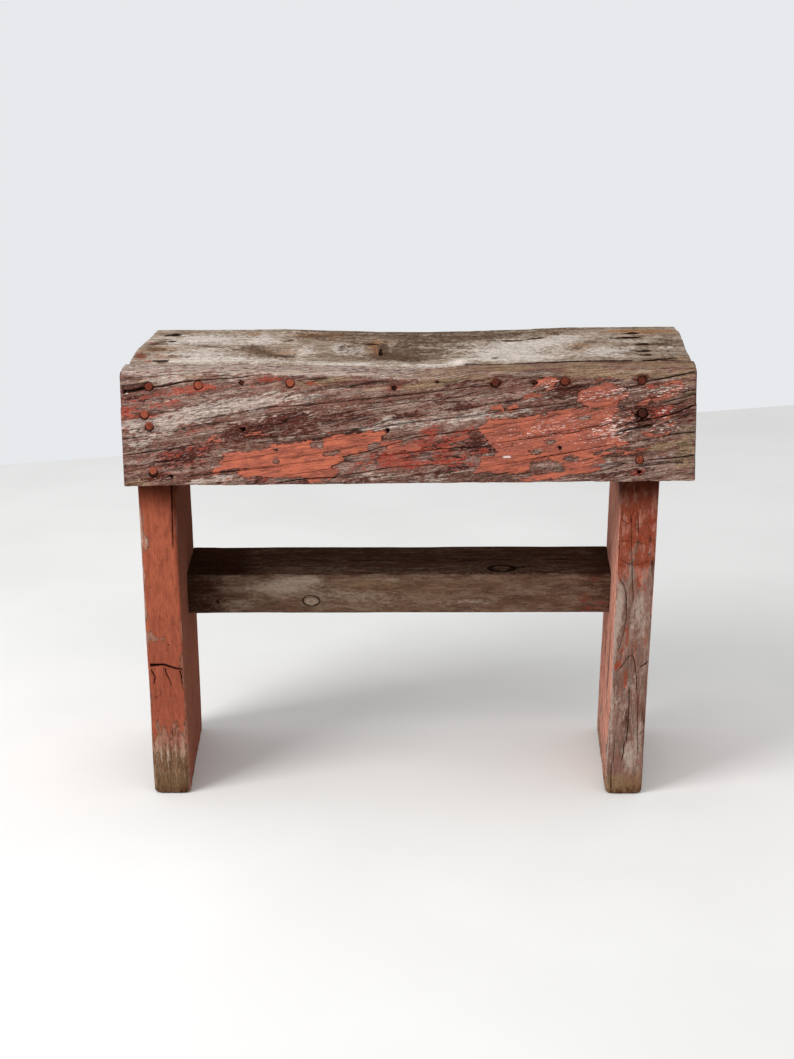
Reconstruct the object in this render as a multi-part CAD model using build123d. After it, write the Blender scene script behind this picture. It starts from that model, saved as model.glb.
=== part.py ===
"""Bucket bench of nominal two-inch boards, nailed together.

Frame: millimetres, +Z up, +X to the right along the bench, the front apron towards -Y.
The origin is on the floor, under the middle of the bench.
"""
from build123d import *
import math
import os

# --- overall ---------------------------------------------------------------------
bench_length = 560.0            # front apron, end to end
bench_depth = 232.0             # front apron's face to the legs' back edges
seat_height = 455.0             # unworn top of the seat

# --- boards ----------------------------------------------------------------------
apron_thickness = 38.0
apron_height = 112.0
apron_arris_radius = 9.0        # top front edge, rounded by wear
seat_thickness = 36.0
rear_strip_width = 58.0
seat_left_inset = 4.0           # seat boards stop this far short of the apron's ends
seat_right_inset = 2.0
board_arris_radius = 2.0        # every other long edge
leg_arris_radius = 2.5
foot_arris_radius = 1.5

# --- legs (measured at the front edge) ---------------------------------------------
leg_thickness = 37.5
left_foot_inset = 11.0          # outer face to the apron's end, at the floor
left_leg_lean = 3.5             # how far the top leans out from the foot
left_outer_toe = 7.0            # outer face's back edge, further out than its front edge
left_inner_toe = 12.0           # the same on the inner face: the plank thins to the back
right_foot_inset = 45.0
right_leg_lean = 16.0
right_outer_toe = 2.0
right_inner_toe = 2.0

# --- stretcher, laid flat between the legs -------------------------------------------
stretcher_thickness = 42.0
stretcher_width = 104.0
stretcher_underside = 169.0
stretcher_arris_radius = 3.0

# --- wear: a long shallow trough across the seat, and a deeper dip at its front -------
trough_centre = 15.0
trough_depth = 4.0
trough_radius = 2800.0
dip_centre = 10.0
dip_front_depth = 7.0
dip_back_depth = 0.5            # below zero depth the dip has run out
dip_radius = 330.0

# --- nails ---------------------------------------------------------------------------
nail_length = 89.0
nail_shank_radius = 1.9
nail_point_length = 7.0
nail_tip_radius = 0.5
nail_head_radius = 4.0
nail_head_thickness = 1.3
nail_head_sink = 0.4            # top of the head below the apron's face
leg_head_sink = 0.8             # deeper on the legs, whose faces aren't square to the nail
headless_sink = 2.0             # a nail without its head ends deeper
headless_hole_radius = 3.2      # the rusted hole around such a nail
shank_clearance = 0.02          # round the shank, so that hole and nail don't overlap
head_clearance = 0.25
mouth_reach = 12.0              # a hole's mouth is cut this far out past the head

empty_hole_radius = 2.2         # holes that lost nails have left in the apron
empty_hole_depth = 12.0

# --- nail places -------------------------------------------------------------------------
# On the front apron's face: (along X, below the top of the seat). A level under zero is a
# height above the apron's underside. Between the legs X is measured from the middle of the
# bench, and over a leg it is measured in from that leg's outer face.
seat_nails_over_left_leg = [(21.5, 15.0)]
seat_nails_between_legs = [(-202.5, 14.0), (-113.0, 12.0), (86.0, 12.5), (153.0, 12.0)]
seat_nails_over_right_leg = [(24.0, 12.0)]
headless_nails_between_legs = [(-160.5, 12.0), (-12.5, 15.0), (124.0, 12.5)]
apron_nails_in_left_leg = [(16.0, 42.5), (20.0, 54.0), (22.0, -13.0)]
apron_nails_in_right_leg = [(23.0, 44.0), (25.0, -21.5)]
holes_over_left_leg = [(41.0, 29.0), (40.0, -9.0)]
holes_between_legs = [(-160.5, 57.5), (-128.5, 77.5), (-19.0, 59.5), (148.5, 78.0)]
holes_over_right_leg = [(25.0, -9.5)]

# On top: (in from the leg's outer face, in from the board's front edge). A second value under
# zero is measured in from the board's back edge.
plank_nails_in_left_leg = [(26.5, 17.0), (19.5, -12.0)]
plank_nails_in_right_leg = [(17.5, 30.0), (17.0, 54.5), (15.5, -47.0)]
strip_nails_in_left_leg = [(16.5, 26.0)]
strip_nails_in_right_leg = [(25.0, 14.0)]

# On the legs' outer faces: (in from the stretcher's front edge, above its middle).
nails_in_stretcher = [(30.0, 0.0), (74.0, 2.0)]

# --- bent nail that stands up in the seat ----------------------------------------------
bent_nail_place = (-33.5, 60.0) # from the middle of the bench, and behind the apron
bent_nail_side = 3.6
bent_nail_depth = 30.0          # driven into the plank
bent_nail_bend_height = 1.5     # its bend, above the unworn seat's level
bent_nail_lean = 16.0           # degrees that the end leans over, to the left
bent_nail_end = 4.5             # length of the leaning end

# --- derived places ----------------------------------------------------------------------
half_length = bench_length / 2
front_face = -bench_depth / 2
back_face = bench_depth / 2
apron_back = front_face + apron_thickness
apron_underside = seat_height - apron_height
seat_underside = seat_height - seat_thickness
seat_seam = back_face - rear_strip_width
seat_left_end = -half_length + seat_left_inset
seat_right_end = half_length - seat_right_inset
stretcher_front = back_face - stretcher_width
stretcher_top = stretcher_underside + stretcher_thickness
stretcher_middle = stretcher_underside + stretcher_thickness / 2
left_leg_line = -half_length + left_foot_inset - left_leg_lean      # outer face, at the seat
right_leg_line = half_length - right_foot_inset + right_leg_lean
on_base = (Align.CENTER, Align.CENTER, Align.MIN)


def block(x_range, y_range, z_range):
    """A box between two corners."""
    size = [high - low for low, high in (x_range, y_range, z_range)]
    corner = (x_range[0], y_range[0], z_range[0])
    return Pos(*corner) * Box(*size, align=(Align.MIN, Align.MIN, Align.MIN))


def leg_plank(side, foot_inset, lean, outer_toe, inner_toe):
    """A plank leg: one section on the floor, carried straight up along its lean.

    side is -1 for the left leg and +1 for the right leg.
    """
    outer = side * (half_length - foot_inset)
    inner = outer - side * leg_thickness
    section = Polyline(
        (outer, apron_back),
        (outer + side * outer_toe, back_face),
        (inner + side * inner_toe, back_face),
        (inner, apron_back),
        close=True,
    )
    rise = Vector(side * lean, 0, seat_underside)
    return extrude(make_face(section), amount=rise.length, dir=rise.normalized())


def left_plank():
    """The left leg, sharp-edged."""
    return leg_plank(-1, left_foot_inset, left_leg_lean, left_outer_toe, left_inner_toe)


def right_plank():
    """The right leg, sharp-edged."""
    return leg_plank(1, right_foot_inset, right_leg_lean, right_outer_toe, right_inner_toe)


def ease_leg(plank):
    """The plank with its four upright edges and its foot eased."""
    upright = [edge for edge in plank.edges() if edge.bounding_box().size.Z > seat_underside / 2]
    plank = fillet(upright, leg_arris_radius)
    foot = plank.faces().sort_by(Axis.Z)[0]
    return fillet(foot.edges(), foot_arris_radius)


def nail_body(shank_radius, tip_radius):
    """A round shank and its point along +Z, with the shank's top at the origin."""
    straight = nail_length - nail_point_length
    shank = Pos(0, 0, -straight) * Cylinder(shank_radius, straight, align=on_base)
    point = Pos(0, 0, -nail_length) * Cone(tip_radius, shank_radius, nail_point_length, align=on_base)
    return shank + point


def nail(head):
    """A nail with the top of its head, or of its shank, at the origin."""
    body = nail_body(nail_shank_radius, nail_tip_radius)
    if head:
        nail_head = Cylinder(nail_head_radius, nail_head_thickness, align=on_base)
        body += Pos(0, 0, -nail_head_thickness) * nail_head
    return body


def nail_hole(mouth_radius, over_stock):
    """The room that a nail takes: its shank, its point and, in the board it enters first, a mouth."""
    bore = nail_body(nail_shank_radius + shank_clearance, nail_tip_radius + shank_clearance)
    if over_stock:
        mouth = Cylinder(mouth_radius, nail_head_thickness + mouth_reach, align=on_base)
        bore += Pos(0, 0, -nail_head_thickness) * mouth
    return bore


def trough_drop(x):
    """How far the trough has worn the seat down at a place along the bench."""
    reach = trough_radius - trough_depth
    across = trough_radius**2 - (x - trough_centre) ** 2
    return max(0.0, math.sqrt(across) - reach)


def over_leg(side, nails):
    """Nail places along X, from places measured in from a leg's outer face."""
    line = left_leg_line if side < 0 else right_leg_line
    return [(line - side * inward, level) for inward, level in nails]


def apron_level(drop):
    """Height of a place on the front apron's face."""
    return seat_height - drop if drop > 0 else apron_underside - drop


def front_places(nails, sink):
    """Locations on the front apron's face, looking in along +Y."""
    return [Pos(x, front_face + sink, apron_level(drop)) * Rot(90, 0, 0) for x, drop in nails]


def top_places(side, nails, front_edge, back_edge):
    """Locations on top of one board over a leg, pointing down; these nails have lost their heads."""
    places = []
    for x, inward in over_leg(side, nails):
        y = front_edge + inward if inward > 0 else back_edge + inward
        places.append(Pos(x, y, seat_height - trough_drop(x) - headless_sink))
    return places


def leg_outer_face(side, foot_inset, lean, outer_toe, y, z):
    """X of a leg's outer face at one height and one place across."""
    back = (y - apron_back) / (back_face - apron_back)
    return side * (half_length - foot_inset + lean * z / seat_underside + outer_toe * back)


def leg_places(side, foot_inset, lean, outer_toe):
    """Locations on a leg's outer face, pointing in at the stretcher's end."""
    places = []
    for inward, rise in nails_in_stretcher:
        y = stretcher_front + inward
        z = stretcher_middle + rise
        x = leg_outer_face(side, foot_inset, lean, outer_toe, y, z) - side * leg_head_sink
        places.append(Pos(x, y, z) * Rot(0, side * 90, 0))
    return places


def wear_cutters():
    """The trough, and the dip that runs out towards the back of the seat."""
    length = 2 * bench_depth
    trough = Rot(90, 0, 0) * Cylinder(trough_radius, length)
    trough = Pos(trough_centre, 0, seat_height + trough_radius - trough_depth) * trough
    fall = math.degrees(math.atan((dip_front_depth - dip_back_depth) / bench_depth))
    middle_depth = (dip_front_depth + dip_back_depth) / 2
    dip = Rot(90 + fall, 0, 0) * Cylinder(dip_radius, length)
    dip = Pos(dip_centre, 0, seat_height + dip_radius - middle_depth) * dip
    return [trough, dip]


def long_edges(board, top):
    """A board's two edges along X at its top or at its underside, front one first."""
    return board.edges().filter_by(Axis.X).group_by(Axis.Z)[-1 if top else 0].sort_by(Axis.Y)


def make_boards():
    """The six boards, before any nail is driven."""
    along = (-half_length, half_length)
    seat_along = (seat_left_end, seat_right_end)
    seat_levels = (seat_underside, seat_height)

    front_apron = block(along, (front_face, apron_back), (apron_underside, seat_height))
    front_apron = fillet(long_edges(front_apron, top=False), board_arris_radius)
    front_apron = fillet(long_edges(front_apron, top=True)[:1], apron_arris_radius)

    seat_plank = block(seat_along, (apron_back, seat_seam), seat_levels)
    rear_strip = block(seat_along, (seat_seam, back_face), seat_levels)
    for top in (False, True):
        rear_strip = fillet(long_edges(rear_strip, top)[1:], board_arris_radius)

    for cutter in wear_cutters():
        front_apron -= cutter
        seat_plank -= cutter
        rear_strip -= cutter

    stretcher = block(along, (stretcher_front, back_face), (stretcher_underside, stretcher_top))
    stretcher = fillet(stretcher.edges().filter_by(Axis.X), stretcher_arris_radius)
    stretcher = stretcher - left_plank() - right_plank()
    between_legs = stretcher.solids().sort_by(SortBy.VOLUME)[-1]

    return {
        "front_apron": front_apron,
        "seat_plank": seat_plank,
        "rear_strip": rear_strip,
        "left_leg": ease_leg(left_plank()),
        "right_leg": ease_leg(right_plank()),
        "stretcher": between_legs,
    }


def nail_groups():
    """For each node of nails: their places, whether they have heads, and the boards that they go through."""
    left_leg_face = (-1, left_foot_inset, left_leg_lean, left_outer_toe)
    right_leg_face = (1, right_foot_inset, right_leg_lean, right_outer_toe)
    seat_nails = over_leg(-1, seat_nails_over_left_leg) + seat_nails_between_legs
    seat_nails += over_leg(1, seat_nails_over_right_leg)
    to_seat = front_places(seat_nails, nail_head_sink)
    to_seat_headless = front_places(headless_nails_between_legs, headless_sink)
    to_left_leg = front_places(over_leg(-1, apron_nails_in_left_leg), nail_head_sink)
    to_right_leg = front_places(over_leg(1, apron_nails_in_right_leg), nail_head_sink)
    plank_to_left_leg = top_places(-1, plank_nails_in_left_leg, apron_back, seat_seam)
    plank_to_right_leg = top_places(1, plank_nails_in_right_leg, apron_back, seat_seam)
    strip_to_left_leg = top_places(-1, strip_nails_in_left_leg, seat_seam, back_face)
    strip_to_right_leg = top_places(1, strip_nails_in_right_leg, seat_seam, back_face)
    return {
        "front_apron_seat_nails": (to_seat, True, ("front_apron", "seat_plank")),
        "front_apron_headless_nails": (to_seat_headless, False, ("front_apron", "seat_plank")),
        "front_apron_left_leg_nails": (to_left_leg, True, ("front_apron", "left_leg")),
        "front_apron_right_leg_nails": (to_right_leg, True, ("front_apron", "right_leg")),
        "seat_left_leg_nails": (plank_to_left_leg, False, ("seat_plank", "left_leg")),
        "seat_right_leg_nails": (plank_to_right_leg, False, ("seat_plank", "right_leg")),
        "rear_strip_left_leg_nails": (strip_to_left_leg, False, ("rear_strip", "left_leg")),
        "rear_strip_right_leg_nails": (strip_to_right_leg, False, ("rear_strip", "right_leg")),
        "left_leg_stretcher_nails": (leg_places(*left_leg_face), True, ("left_leg", "stretcher")),
        "right_leg_stretcher_nails": (leg_places(*right_leg_face), True, ("right_leg", "stretcher")),
    }


def drive_nails(boards):
    """Every group of nails as a compound, with its holes cut in the boards that it joins."""
    nodes = {}
    for node, (places, head, joined) in nail_groups().items():
        mouth_radius = nail_head_radius + head_clearance if head else headless_hole_radius
        nodes[node] = Compound(children=[place * nail(head) for place in places])
        for board in joined:
            for place in places:
                boards[board] -= place * nail_hole(mouth_radius, over_stock=board == joined[0])
    return nodes


def stub_shape(side, foot):
    """A square cut nail: straight up to its bend, then leaning to the left."""
    x, behind_apron = bent_nail_place
    y = apron_back + behind_apron
    bend = seat_height + bent_nail_bend_height
    straight = block((x - side / 2, x + side / 2), (y - side / 2, y + side / 2), (seat_height - foot, bend))
    end = Box(side, side, bent_nail_end, align=on_base)
    overlap = side / 2 * math.sin(math.radians(bent_nail_lean))
    return straight + Pos(x, y, bend - overlap) * Rot(0, -bent_nail_lean, 0) * end


boards = make_boards()
nodes = drive_nails(boards)

hole = Cylinder(empty_hole_radius, 2 * empty_hole_depth)
empty_holes = over_leg(-1, holes_over_left_leg) + holes_between_legs + over_leg(1, holes_over_right_leg)
for place in front_places(empty_holes, sink=0):
    boards["front_apron"] -= place * hole

nodes["bent_seat_nail"] = stub_shape(bent_nail_side, bent_nail_depth)
boards["seat_plank"] -= stub_shape(bent_nail_side + 2 * shank_clearance, bent_nail_depth + shank_clearance)

os.makedirs("parts", exist_ok=True)
for node, shape in {**boards, **nodes}.items():
    export_step(shape, f"parts/{node}.step")
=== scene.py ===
"""A bucket bench of weathered two-inch boards: worn wood, flaking barn-red paint and rusty nails.

Shapes are worked out in millimetres, in the bench's own frame, and become metres in the meshes.
+Z is up, +X runs along the bench to the right, and the front apron faces -Y.
"""
import itertools
import math

import bpy
import numpy as np
from mathutils import Matrix, Vector


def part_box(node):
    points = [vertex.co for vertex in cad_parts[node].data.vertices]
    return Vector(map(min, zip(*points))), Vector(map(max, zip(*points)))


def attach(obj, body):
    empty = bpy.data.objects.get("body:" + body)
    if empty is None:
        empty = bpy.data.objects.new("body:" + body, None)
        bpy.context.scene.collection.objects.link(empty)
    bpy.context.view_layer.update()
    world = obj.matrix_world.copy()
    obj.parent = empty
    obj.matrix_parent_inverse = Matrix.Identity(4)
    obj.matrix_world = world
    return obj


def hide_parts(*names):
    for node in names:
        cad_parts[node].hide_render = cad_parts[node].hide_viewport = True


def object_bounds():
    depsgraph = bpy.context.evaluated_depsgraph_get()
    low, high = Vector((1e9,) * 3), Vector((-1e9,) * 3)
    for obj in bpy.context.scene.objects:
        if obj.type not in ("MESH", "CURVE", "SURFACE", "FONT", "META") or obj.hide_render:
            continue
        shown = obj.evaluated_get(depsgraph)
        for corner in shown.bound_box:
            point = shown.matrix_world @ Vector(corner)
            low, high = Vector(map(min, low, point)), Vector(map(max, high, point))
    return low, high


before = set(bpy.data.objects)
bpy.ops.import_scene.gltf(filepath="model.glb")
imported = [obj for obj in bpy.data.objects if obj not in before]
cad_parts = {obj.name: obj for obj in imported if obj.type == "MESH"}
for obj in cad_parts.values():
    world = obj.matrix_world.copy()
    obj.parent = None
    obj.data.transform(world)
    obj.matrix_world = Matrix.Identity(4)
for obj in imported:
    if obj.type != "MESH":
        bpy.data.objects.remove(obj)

cad_box = [list(corner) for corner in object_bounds()]

MM = 0.001
BODY = "root"
bench_low, bench_high = (np.array(corner) / MM for corner in cad_box)
box_margin = 0.02                # mm kept between every mesh and the bench's own box
ACROSS_X, ACROSS_Y, ACROSS_Z = 0, 1, 2


def box_mm(node):
    """Lowest and highest corner of a CAD node, in millimetres."""
    low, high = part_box(node)
    return np.array(low) / MM, np.array(high) / MM


# ------------------------------------------------------------------------------------------
# sizes of the bench
# ------------------------------------------------------------------------------------------
apron_low, apron_high = box_mm("front_apron")
plank_low, plank_high = box_mm("seat_plank")
strip_low, strip_high = box_mm("rear_strip")
stretcher_low, stretcher_high = box_mm("stretcher")
half_length = apron_high[0]
seat_height = strip_high[2]
front_face, apron_back = apron_low[1], apron_high[1]
back_face = strip_high[1]

leg_thickness = 37.5
leg_depth = back_face - apron_back
leg_height = plank_low[2]
sawn_out = 0.9                   # mm by which both legs stand further out than their insets say
# Foot inset, lean at the top, toe of the outer face and toe of the inner face, in mm.
left_leg_set = (11.0, 3.5, 7.0, 12.0)
right_leg_set = (45.0, 16.0, 2.0, 2.0)

trough_centre, trough_depth, trough_radius = 15.0, 4.0, 2800.0
dip_centre, dip_radius = 10.0, 330.0
dip_front_depth, dip_back_depth = 7.0, 0.5
wear_blend = 0.6                 # mm over which one worn hollow runs into another

apron_grain_slope = 0.145        # the apron's grain climbs to the right
apron_left_drop = 3.0            # mm by which its lower edge was sawn lower at the left end
# How far the tops of nails stand out of their places in the solids, in mm: the heads in the
# apron and in the legs, and the stubs in the apron and in the seat.
proud_head, leg_head_lift, apron_stub_lift, seat_stub_lift = 0.3, 0.6, 0.8, 0.4

# The grime and stain marks carry real dirt and stains, and also painted shade: under the apron, on the left leg's
# inner face, on the stretcher, in the splinter's hollow and beside the bent nail.
MARKS = ("pit", "side", "half", "vein", "gate", "valley", "paint", "film", "stain", "grime", "pale", "warm", "rust",
         "fleck", "edge", "end")


# ------------------------------------------------------------------------------------------
# numbers: noise, steps and outlines
# ------------------------------------------------------------------------------------------
def together(*parts):
    """Three coordinates as one row for each point. A plain number stands for all points."""
    return np.stack(np.broadcast_arrays(*parts), 1)


def cell_value(cell, seed):
    """A repeatable number from 0 to 1 for each whole-number cell: its three numbers, hashed."""
    mask = 0xFFFFFFFF
    h = (cell[:, 0] * 73856093) ^ (cell[:, 1] * 19349663) ^ (cell[:, 2] * 83492791) ^ (seed * 2654435761)
    h &= mask
    h = ((h ^ (h >> 15)) * 739982445) & mask
    h = ((h ^ (h >> 12)) * 695872825) & mask
    return ((h ^ (h >> 15)) & 0xFFFF) / 65535.0


def noise(points, seed):
    """Smooth random height from 0 to 1: the eight corners of each point's cell, blended."""
    base = np.floor(points).astype(np.int64)
    part = points - base
    blend = part * part * (3.0 - 2.0 * part)
    total = np.zeros(len(points))
    for corner in itertools.product((0, 1), repeat=3):
        weight = np.prod(np.where(corner, blend, 1.0 - blend), axis=1)
        total += weight * cell_value(base + np.array(corner), seed)
    return total


def layered(points, octaves, seed):
    """Noise at one scale, plus half as much at half that scale, and so on, brought back to 0 to 1."""
    total = np.zeros(len(points))
    reach = 0.0
    for octave in range(octaves):
        share = 0.5**octave
        total += share * noise(points * 2.0**octave, seed + 17 * octave)
        reach += share
    return total / reach


def step(value, low, high):
    """0 below low, 1 above high, and an even S between them. Low may be the larger one."""
    part = np.clip((value - low) / (high - low), 0.0, 1.0)
    return part * part * (3.0 - 2.0 * part)


def spots(a, b, places):
    """Soft oval areas: each (a, b, half width, half height, strength) fades as a bell."""
    total = np.zeros(len(a))
    for at, bt, wide, high, strength in places:
        total += strength * np.exp(-(((a - at) / wide) ** 2) - ((b - bt) / high) ** 2)
    return np.clip(total, 0.0, 1.0)


def reach_inside(outline, a, b):
    """Distance in from a closed outline, in mm: above zero inside it, and below zero outside.

    Nearest distance to any side, with the sign of the even-odd rule.
    """
    corners = np.array(outline, float)
    nearest = np.full(len(a), 1e9)
    inside = np.zeros(len(a), bool)
    for (a0, b0), (a1, b1) in zip(corners, np.roll(corners, -1, axis=0)):
        da, db = a1 - a0, b1 - b0
        along = np.clip(((a - a0) * da + (b - b0) * db) / (da * da + db * db), 0.0, 1.0)
        nearest = np.minimum(nearest, np.hypot(a - a0 - along * da, b - b0 - along * db))
        if db:
            crosses = ((b0 > b) != (b1 > b)) & (a < a0 + (b - b0) * da / db)
            inside ^= crosses
    return np.where(inside, nearest, -nearest)


def painted(outlines, a, b, softness=5.0):
    """Paint left inside any of these outlines: 0.5 on the outline, and 1 well inside it."""
    level = np.zeros(len(a))
    for outline in outlines:
        level = np.maximum(level, np.clip(0.5 + reach_inside(outline, a, b) / (2 * softness), 0.0, 1.0))
    return level


# ------------------------------------------------------------------------------------------
# skins: closed surfaces of points on a grid
# ------------------------------------------------------------------------------------------
def cuts(low, high, coarse, fine, places, reach):
    """Cut places from low to high: fine apart within reach of each place, coarse apart elsewhere.

    The cuts fall at equal shares of the running total of cuts per millimetre.
    """
    line = np.linspace(low, high, 6000)
    nearest = np.min([np.abs(line - place) for place in places], axis=0)
    per_mm = 1 / coarse + (1 / fine - 1 / coarse) * step(nearest, 1.5 * reach, reach)
    total = np.concatenate([[0.0], np.cumsum((per_mm[1:] + per_mm[:-1]) / 2 * np.diff(line))])
    count = int(math.ceil(total[-1]))
    return np.interp(np.linspace(0.0, total[-1], count + 1), total, line)


def box_skin(xs, ys, zs):
    """The skin of a box cut along three sets of planes: its points, once each, and its quads.

    Each side is a grid of two of the three cut numbers. Corners that share all three numbers are
    one point, so the six grids close into one surface, with every quad wound to face outward.
    """
    counts = np.array([len(xs), len(ys), len(zs)])
    weights = np.array([counts[1] * counts[2], counts[2], 1])
    quads = []
    for axis in range(3):
        b, c = (axis + 1) % 3, (axis + 2) % 3
        ib, ic = np.meshgrid(np.arange(counts[b] - 1), np.arange(counts[c] - 1), indexing="ij")
        start = (ib * weights[b] + ic * weights[c]).ravel()
        corners = np.stack([start, start + weights[b], start + weights[b] + weights[c], start + weights[c]], 1)
        quads.append(corners + (counts[axis] - 1) * weights[axis])
        quads.append(corners[:, ::-1])
    codes, faces = np.unique(np.concatenate(quads), return_inverse=True)
    i, j, k = codes // weights[0], codes // weights[1] % counts[1], codes % counts[2]
    return together(xs[i], ys[j], zs[k]), faces.reshape(-1, 4)


mid_arris = 0.29                 # 1 less the cosine of 45 degrees: how far a facing turns on an arris


class Skin:
    """A board's surface while it is shaped, in millimetres.

    points: where the rounded board's surface is. facing: which way it faces there.
    depth: how much is worn or cut off inward. marks: what the finish reads, from 0 to 1.
    """

    def __init__(self, xs, ys, zs, rounding):
        """A box whose edges are rounded: each point is carried onto the rounding nearest to it.

        rounding(points) gives how far the rounding reaches along each axis. A point within that
        reach of an edge goes to where the line from the rounding's centre meets its ellipse.
        """
        flat, self.faces = box_skin(xs, ys, zs)
        self.low, self.high = flat.min(0), flat.max(0)
        radius = rounding(flat)
        core = np.clip(flat, self.low + radius, self.high - radius)
        away = (flat - core) / radius
        away /= np.linalg.norm(away, axis=1, keepdims=True)
        self.points = core + away * radius
        facing = away / radius
        self.facing = facing / np.linalg.norm(facing, axis=1, keepdims=True)
        self.depth = np.zeros(len(flat))
        self.marks = {"side": np.full(len(flat), 4.0), "half": np.full(len(flat), -1.0)}
        self.mark("edge", (1 - np.abs(self.facing).max(1)) / mid_arris)

    def sink(self, depth):
        """Takes this much off, inward."""
        self.depth = self.depth + depth

    def mark(self, name, level):
        """Raises one mark to this level where it is higher."""
        self.marks[name] = np.clip(np.maximum(self.marks.get(name, 0.0), level), 0.0, 1.0)

    def mark_spots(self, face, a, b, **tables):
        """Raises marks on one face, each by its own table of soft areas."""
        for name, places in tables.items():
            self.mark(name, spots(a, b, places) * face)

    def shaped(self):
        """The points with what is worn off taken away, inward."""
        return self.points - self.facing * self.depth[:, None]

    def keep_ends(self, axis, share=0.8):
        """Takes less off the two ends, which would otherwise come out short."""
        self.depth = self.depth * (1 - share * step(np.abs(self.facing[:, axis]), 0.5, 0.9))


def add_object(name, data):
    """A new object in the scene."""
    made = bpy.data.objects.new(name, data)
    bpy.context.scene.collection.objects.link(made)
    return made


def make_piece(name, points, faces, material, nodes, marks, grain=None):
    """A closed mesh at the origin that stands for these CAD nodes and rides on the bench."""
    mesh = bpy.data.meshes.new(name)
    held = np.clip(points, bench_low + box_margin, bench_high - box_margin)
    mesh.from_pydata((held * MM).tolist(), [], faces.tolist())
    mesh.shade_smooth()
    for mark, level in marks.items():
        mesh.attributes.new(mark, "FLOAT", "POINT").data.foreach_set("value", level.astype(np.float32))
    if grain is not None:
        layer = mesh.attributes.new("grain", "FLOAT_VECTOR", "POINT")
        layer.data.foreach_set("vector", grain.astype(np.float32).ravel())
    mesh.materials.append(material)
    piece = add_object(name, mesh)
    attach(piece, BODY)
    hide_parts(*nodes)


# ------------------------------------------------------------------------------------------
# wood: what weather, wear and nails do to a board
# ------------------------------------------------------------------------------------------
def flowing(s, t, r, seed, sway=2.4):
    """Grain places that wander: the across place is pushed by slow noise along the board."""
    drift = noise(together(s / 95, t / 30, r / 60), seed) - 0.5
    ripple = noise(together(s / 28, t / 14, r / 40), seed + 5) - 0.5
    return together(s, t + 2 * sway * drift + 0.5 * sway * ripple, r)


def round_knot(skin, grain, s, t, knot, core_mark, line=0.1):
    """Bends the grain round a knot, rings its inside and leaves a dark line at its edge.

    knot: place along, place across, half length, half width. The distance d is 1 on its edge.
    line: half the dark line's width, as a share of the knot's.
    """
    at_s, at_t, half_long, half_wide = knot
    uneven = noise(together(s / 3, t / 2, 0), 7)
    d = np.hypot((s - at_s) / half_long, (t - at_t) / half_wide) * (0.93 + 0.14 * uneven)
    push = 1 - 0.85 * np.exp(-((d / 1.7) ** 2))
    grain[:, 1] = at_t + (grain[:, 1] - at_t) * push
    inside = step(d, 1.05, 0.95)
    grain[:, 1] = grain[:, 1] * (1 - inside) + (at_t + 50 + half_wide * d) * inside
    grain[:, 0] = grain[:, 0] * (1 - inside) + at_s * inside
    skin.mark("pit", 0.5 + (line * (0.5 + uneven) - np.abs(d - 1)) * half_wide / 4)
    skin.mark(core_mark, 0.6 * inside)
    skin.sink(0.5 * step(np.abs(d - 1), 0.25, 0.0))


def split(skin, a, b, line, half_width, depth, where):
    """An open crack along a line of places, ragged, and run out over its ends.

    half_width: its half width in mm at the first and at the last place. Two marks let the finish
    draw it sharper than the grid: "side" is the distance from its middle line in mm, with a sign
    for the side, and "half" is its half width, which falls to -1 away from the crack.
    """
    line = np.array(line, float)
    lengths = np.hypot(*np.diff(line, axis=0).T)
    run = np.concatenate([[0.0], np.cumsum(lengths)])
    best = np.full(len(a), 1e9)
    side = np.full(len(a), 4.0)
    place = np.zeros(len(a))
    for (a0, b0), (a1, b1), start, length in zip(line[:-1], line[1:], run[:-1], lengths):
        along = ((a - a0) * (a1 - a0) + (b - b0) * (b1 - b0)) / length**2
        held = np.clip(along, 0.0, 1.0)
        away = np.hypot(a - a0 - held * (a1 - a0), b - b0 - held * (b1 - b0))
        turned = ((a1 - a0) * (b - b0) - (b1 - b0) * (a - a0)) / length
        nearer = away < best
        best = np.where(nearer, away, best)
        side = np.where(nearer, np.sign(turned) * away, side)
        place = np.where(nearer, start + held * length, place)
    part = place / run[-1]
    ragged = 0.7 + 0.6 * noise(together(place / 6, b.mean(), 0), 91)
    ends = 1.0 if half_width[0] > 0.9 else step(part, 0.0, 0.08)
    half = (half_width[0] + (half_width[1] - half_width[0]) * part) * ragged * ends * step(part, 1.0, 0.85)
    half = half - 0.35 * step(part, 0.93, 1.0)
    reach = half - (1 + half) * np.maximum(step(best, 1.6 + half, 3.2 + half), 1 - where)
    wins = reach > skin.marks["half"]
    skin.marks["side"] = np.where(wins, np.clip(side, -4.0, 4.0), skin.marks["side"])
    skin.marks["half"] = np.where(wins, reach, skin.marks["half"])
    skin.sink(depth * step(best, half + 0.6, 0.3 * half) * where)


def open_cracks(skin, a, b, cracks, where):
    """Every crack of a table: the places along it, its half width at both ends, and its depth."""
    for line, half_width, depth in cracks:
        split(skin, a, b, line, half_width, depth, where)


def weather(skin, grain, seed, groove=0.5, swell=0.6, fibre_wide=2.3, check=1.0, taken=0.05):
    """Raised grain: soft wood washed out between harder lines, on slow swells, with fine checks.

    A check runs where slow drawn-out noise crosses its middle value, and a second noise opens it.
    """
    lines = layered(grain / (60.0, fibre_wide, 16.0), 3, seed)
    washed = step(lines, 0.62, 0.36)
    slow = layered(grain / (110.0, 26.0, 60.0), 2, seed + 3)
    vein = layered(grain / (80.0, 4.6, 22.0), 2, seed + 6)
    gate = step(noise(grain / (46.0, 8.0, 30.0), seed + 8), 0.4, 0.8)
    open_check = step(np.abs(vein - 0.5), 0.045, 0.0) * gate
    skin.sink(taken + groove * washed + swell * (1 - step(slow, 0.3, 0.7)) + check * open_check)
    skin.mark("valley", washed)
    skin.mark("vein", vein)
    skin.mark("gate", gate * min(check, 1.0))


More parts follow.
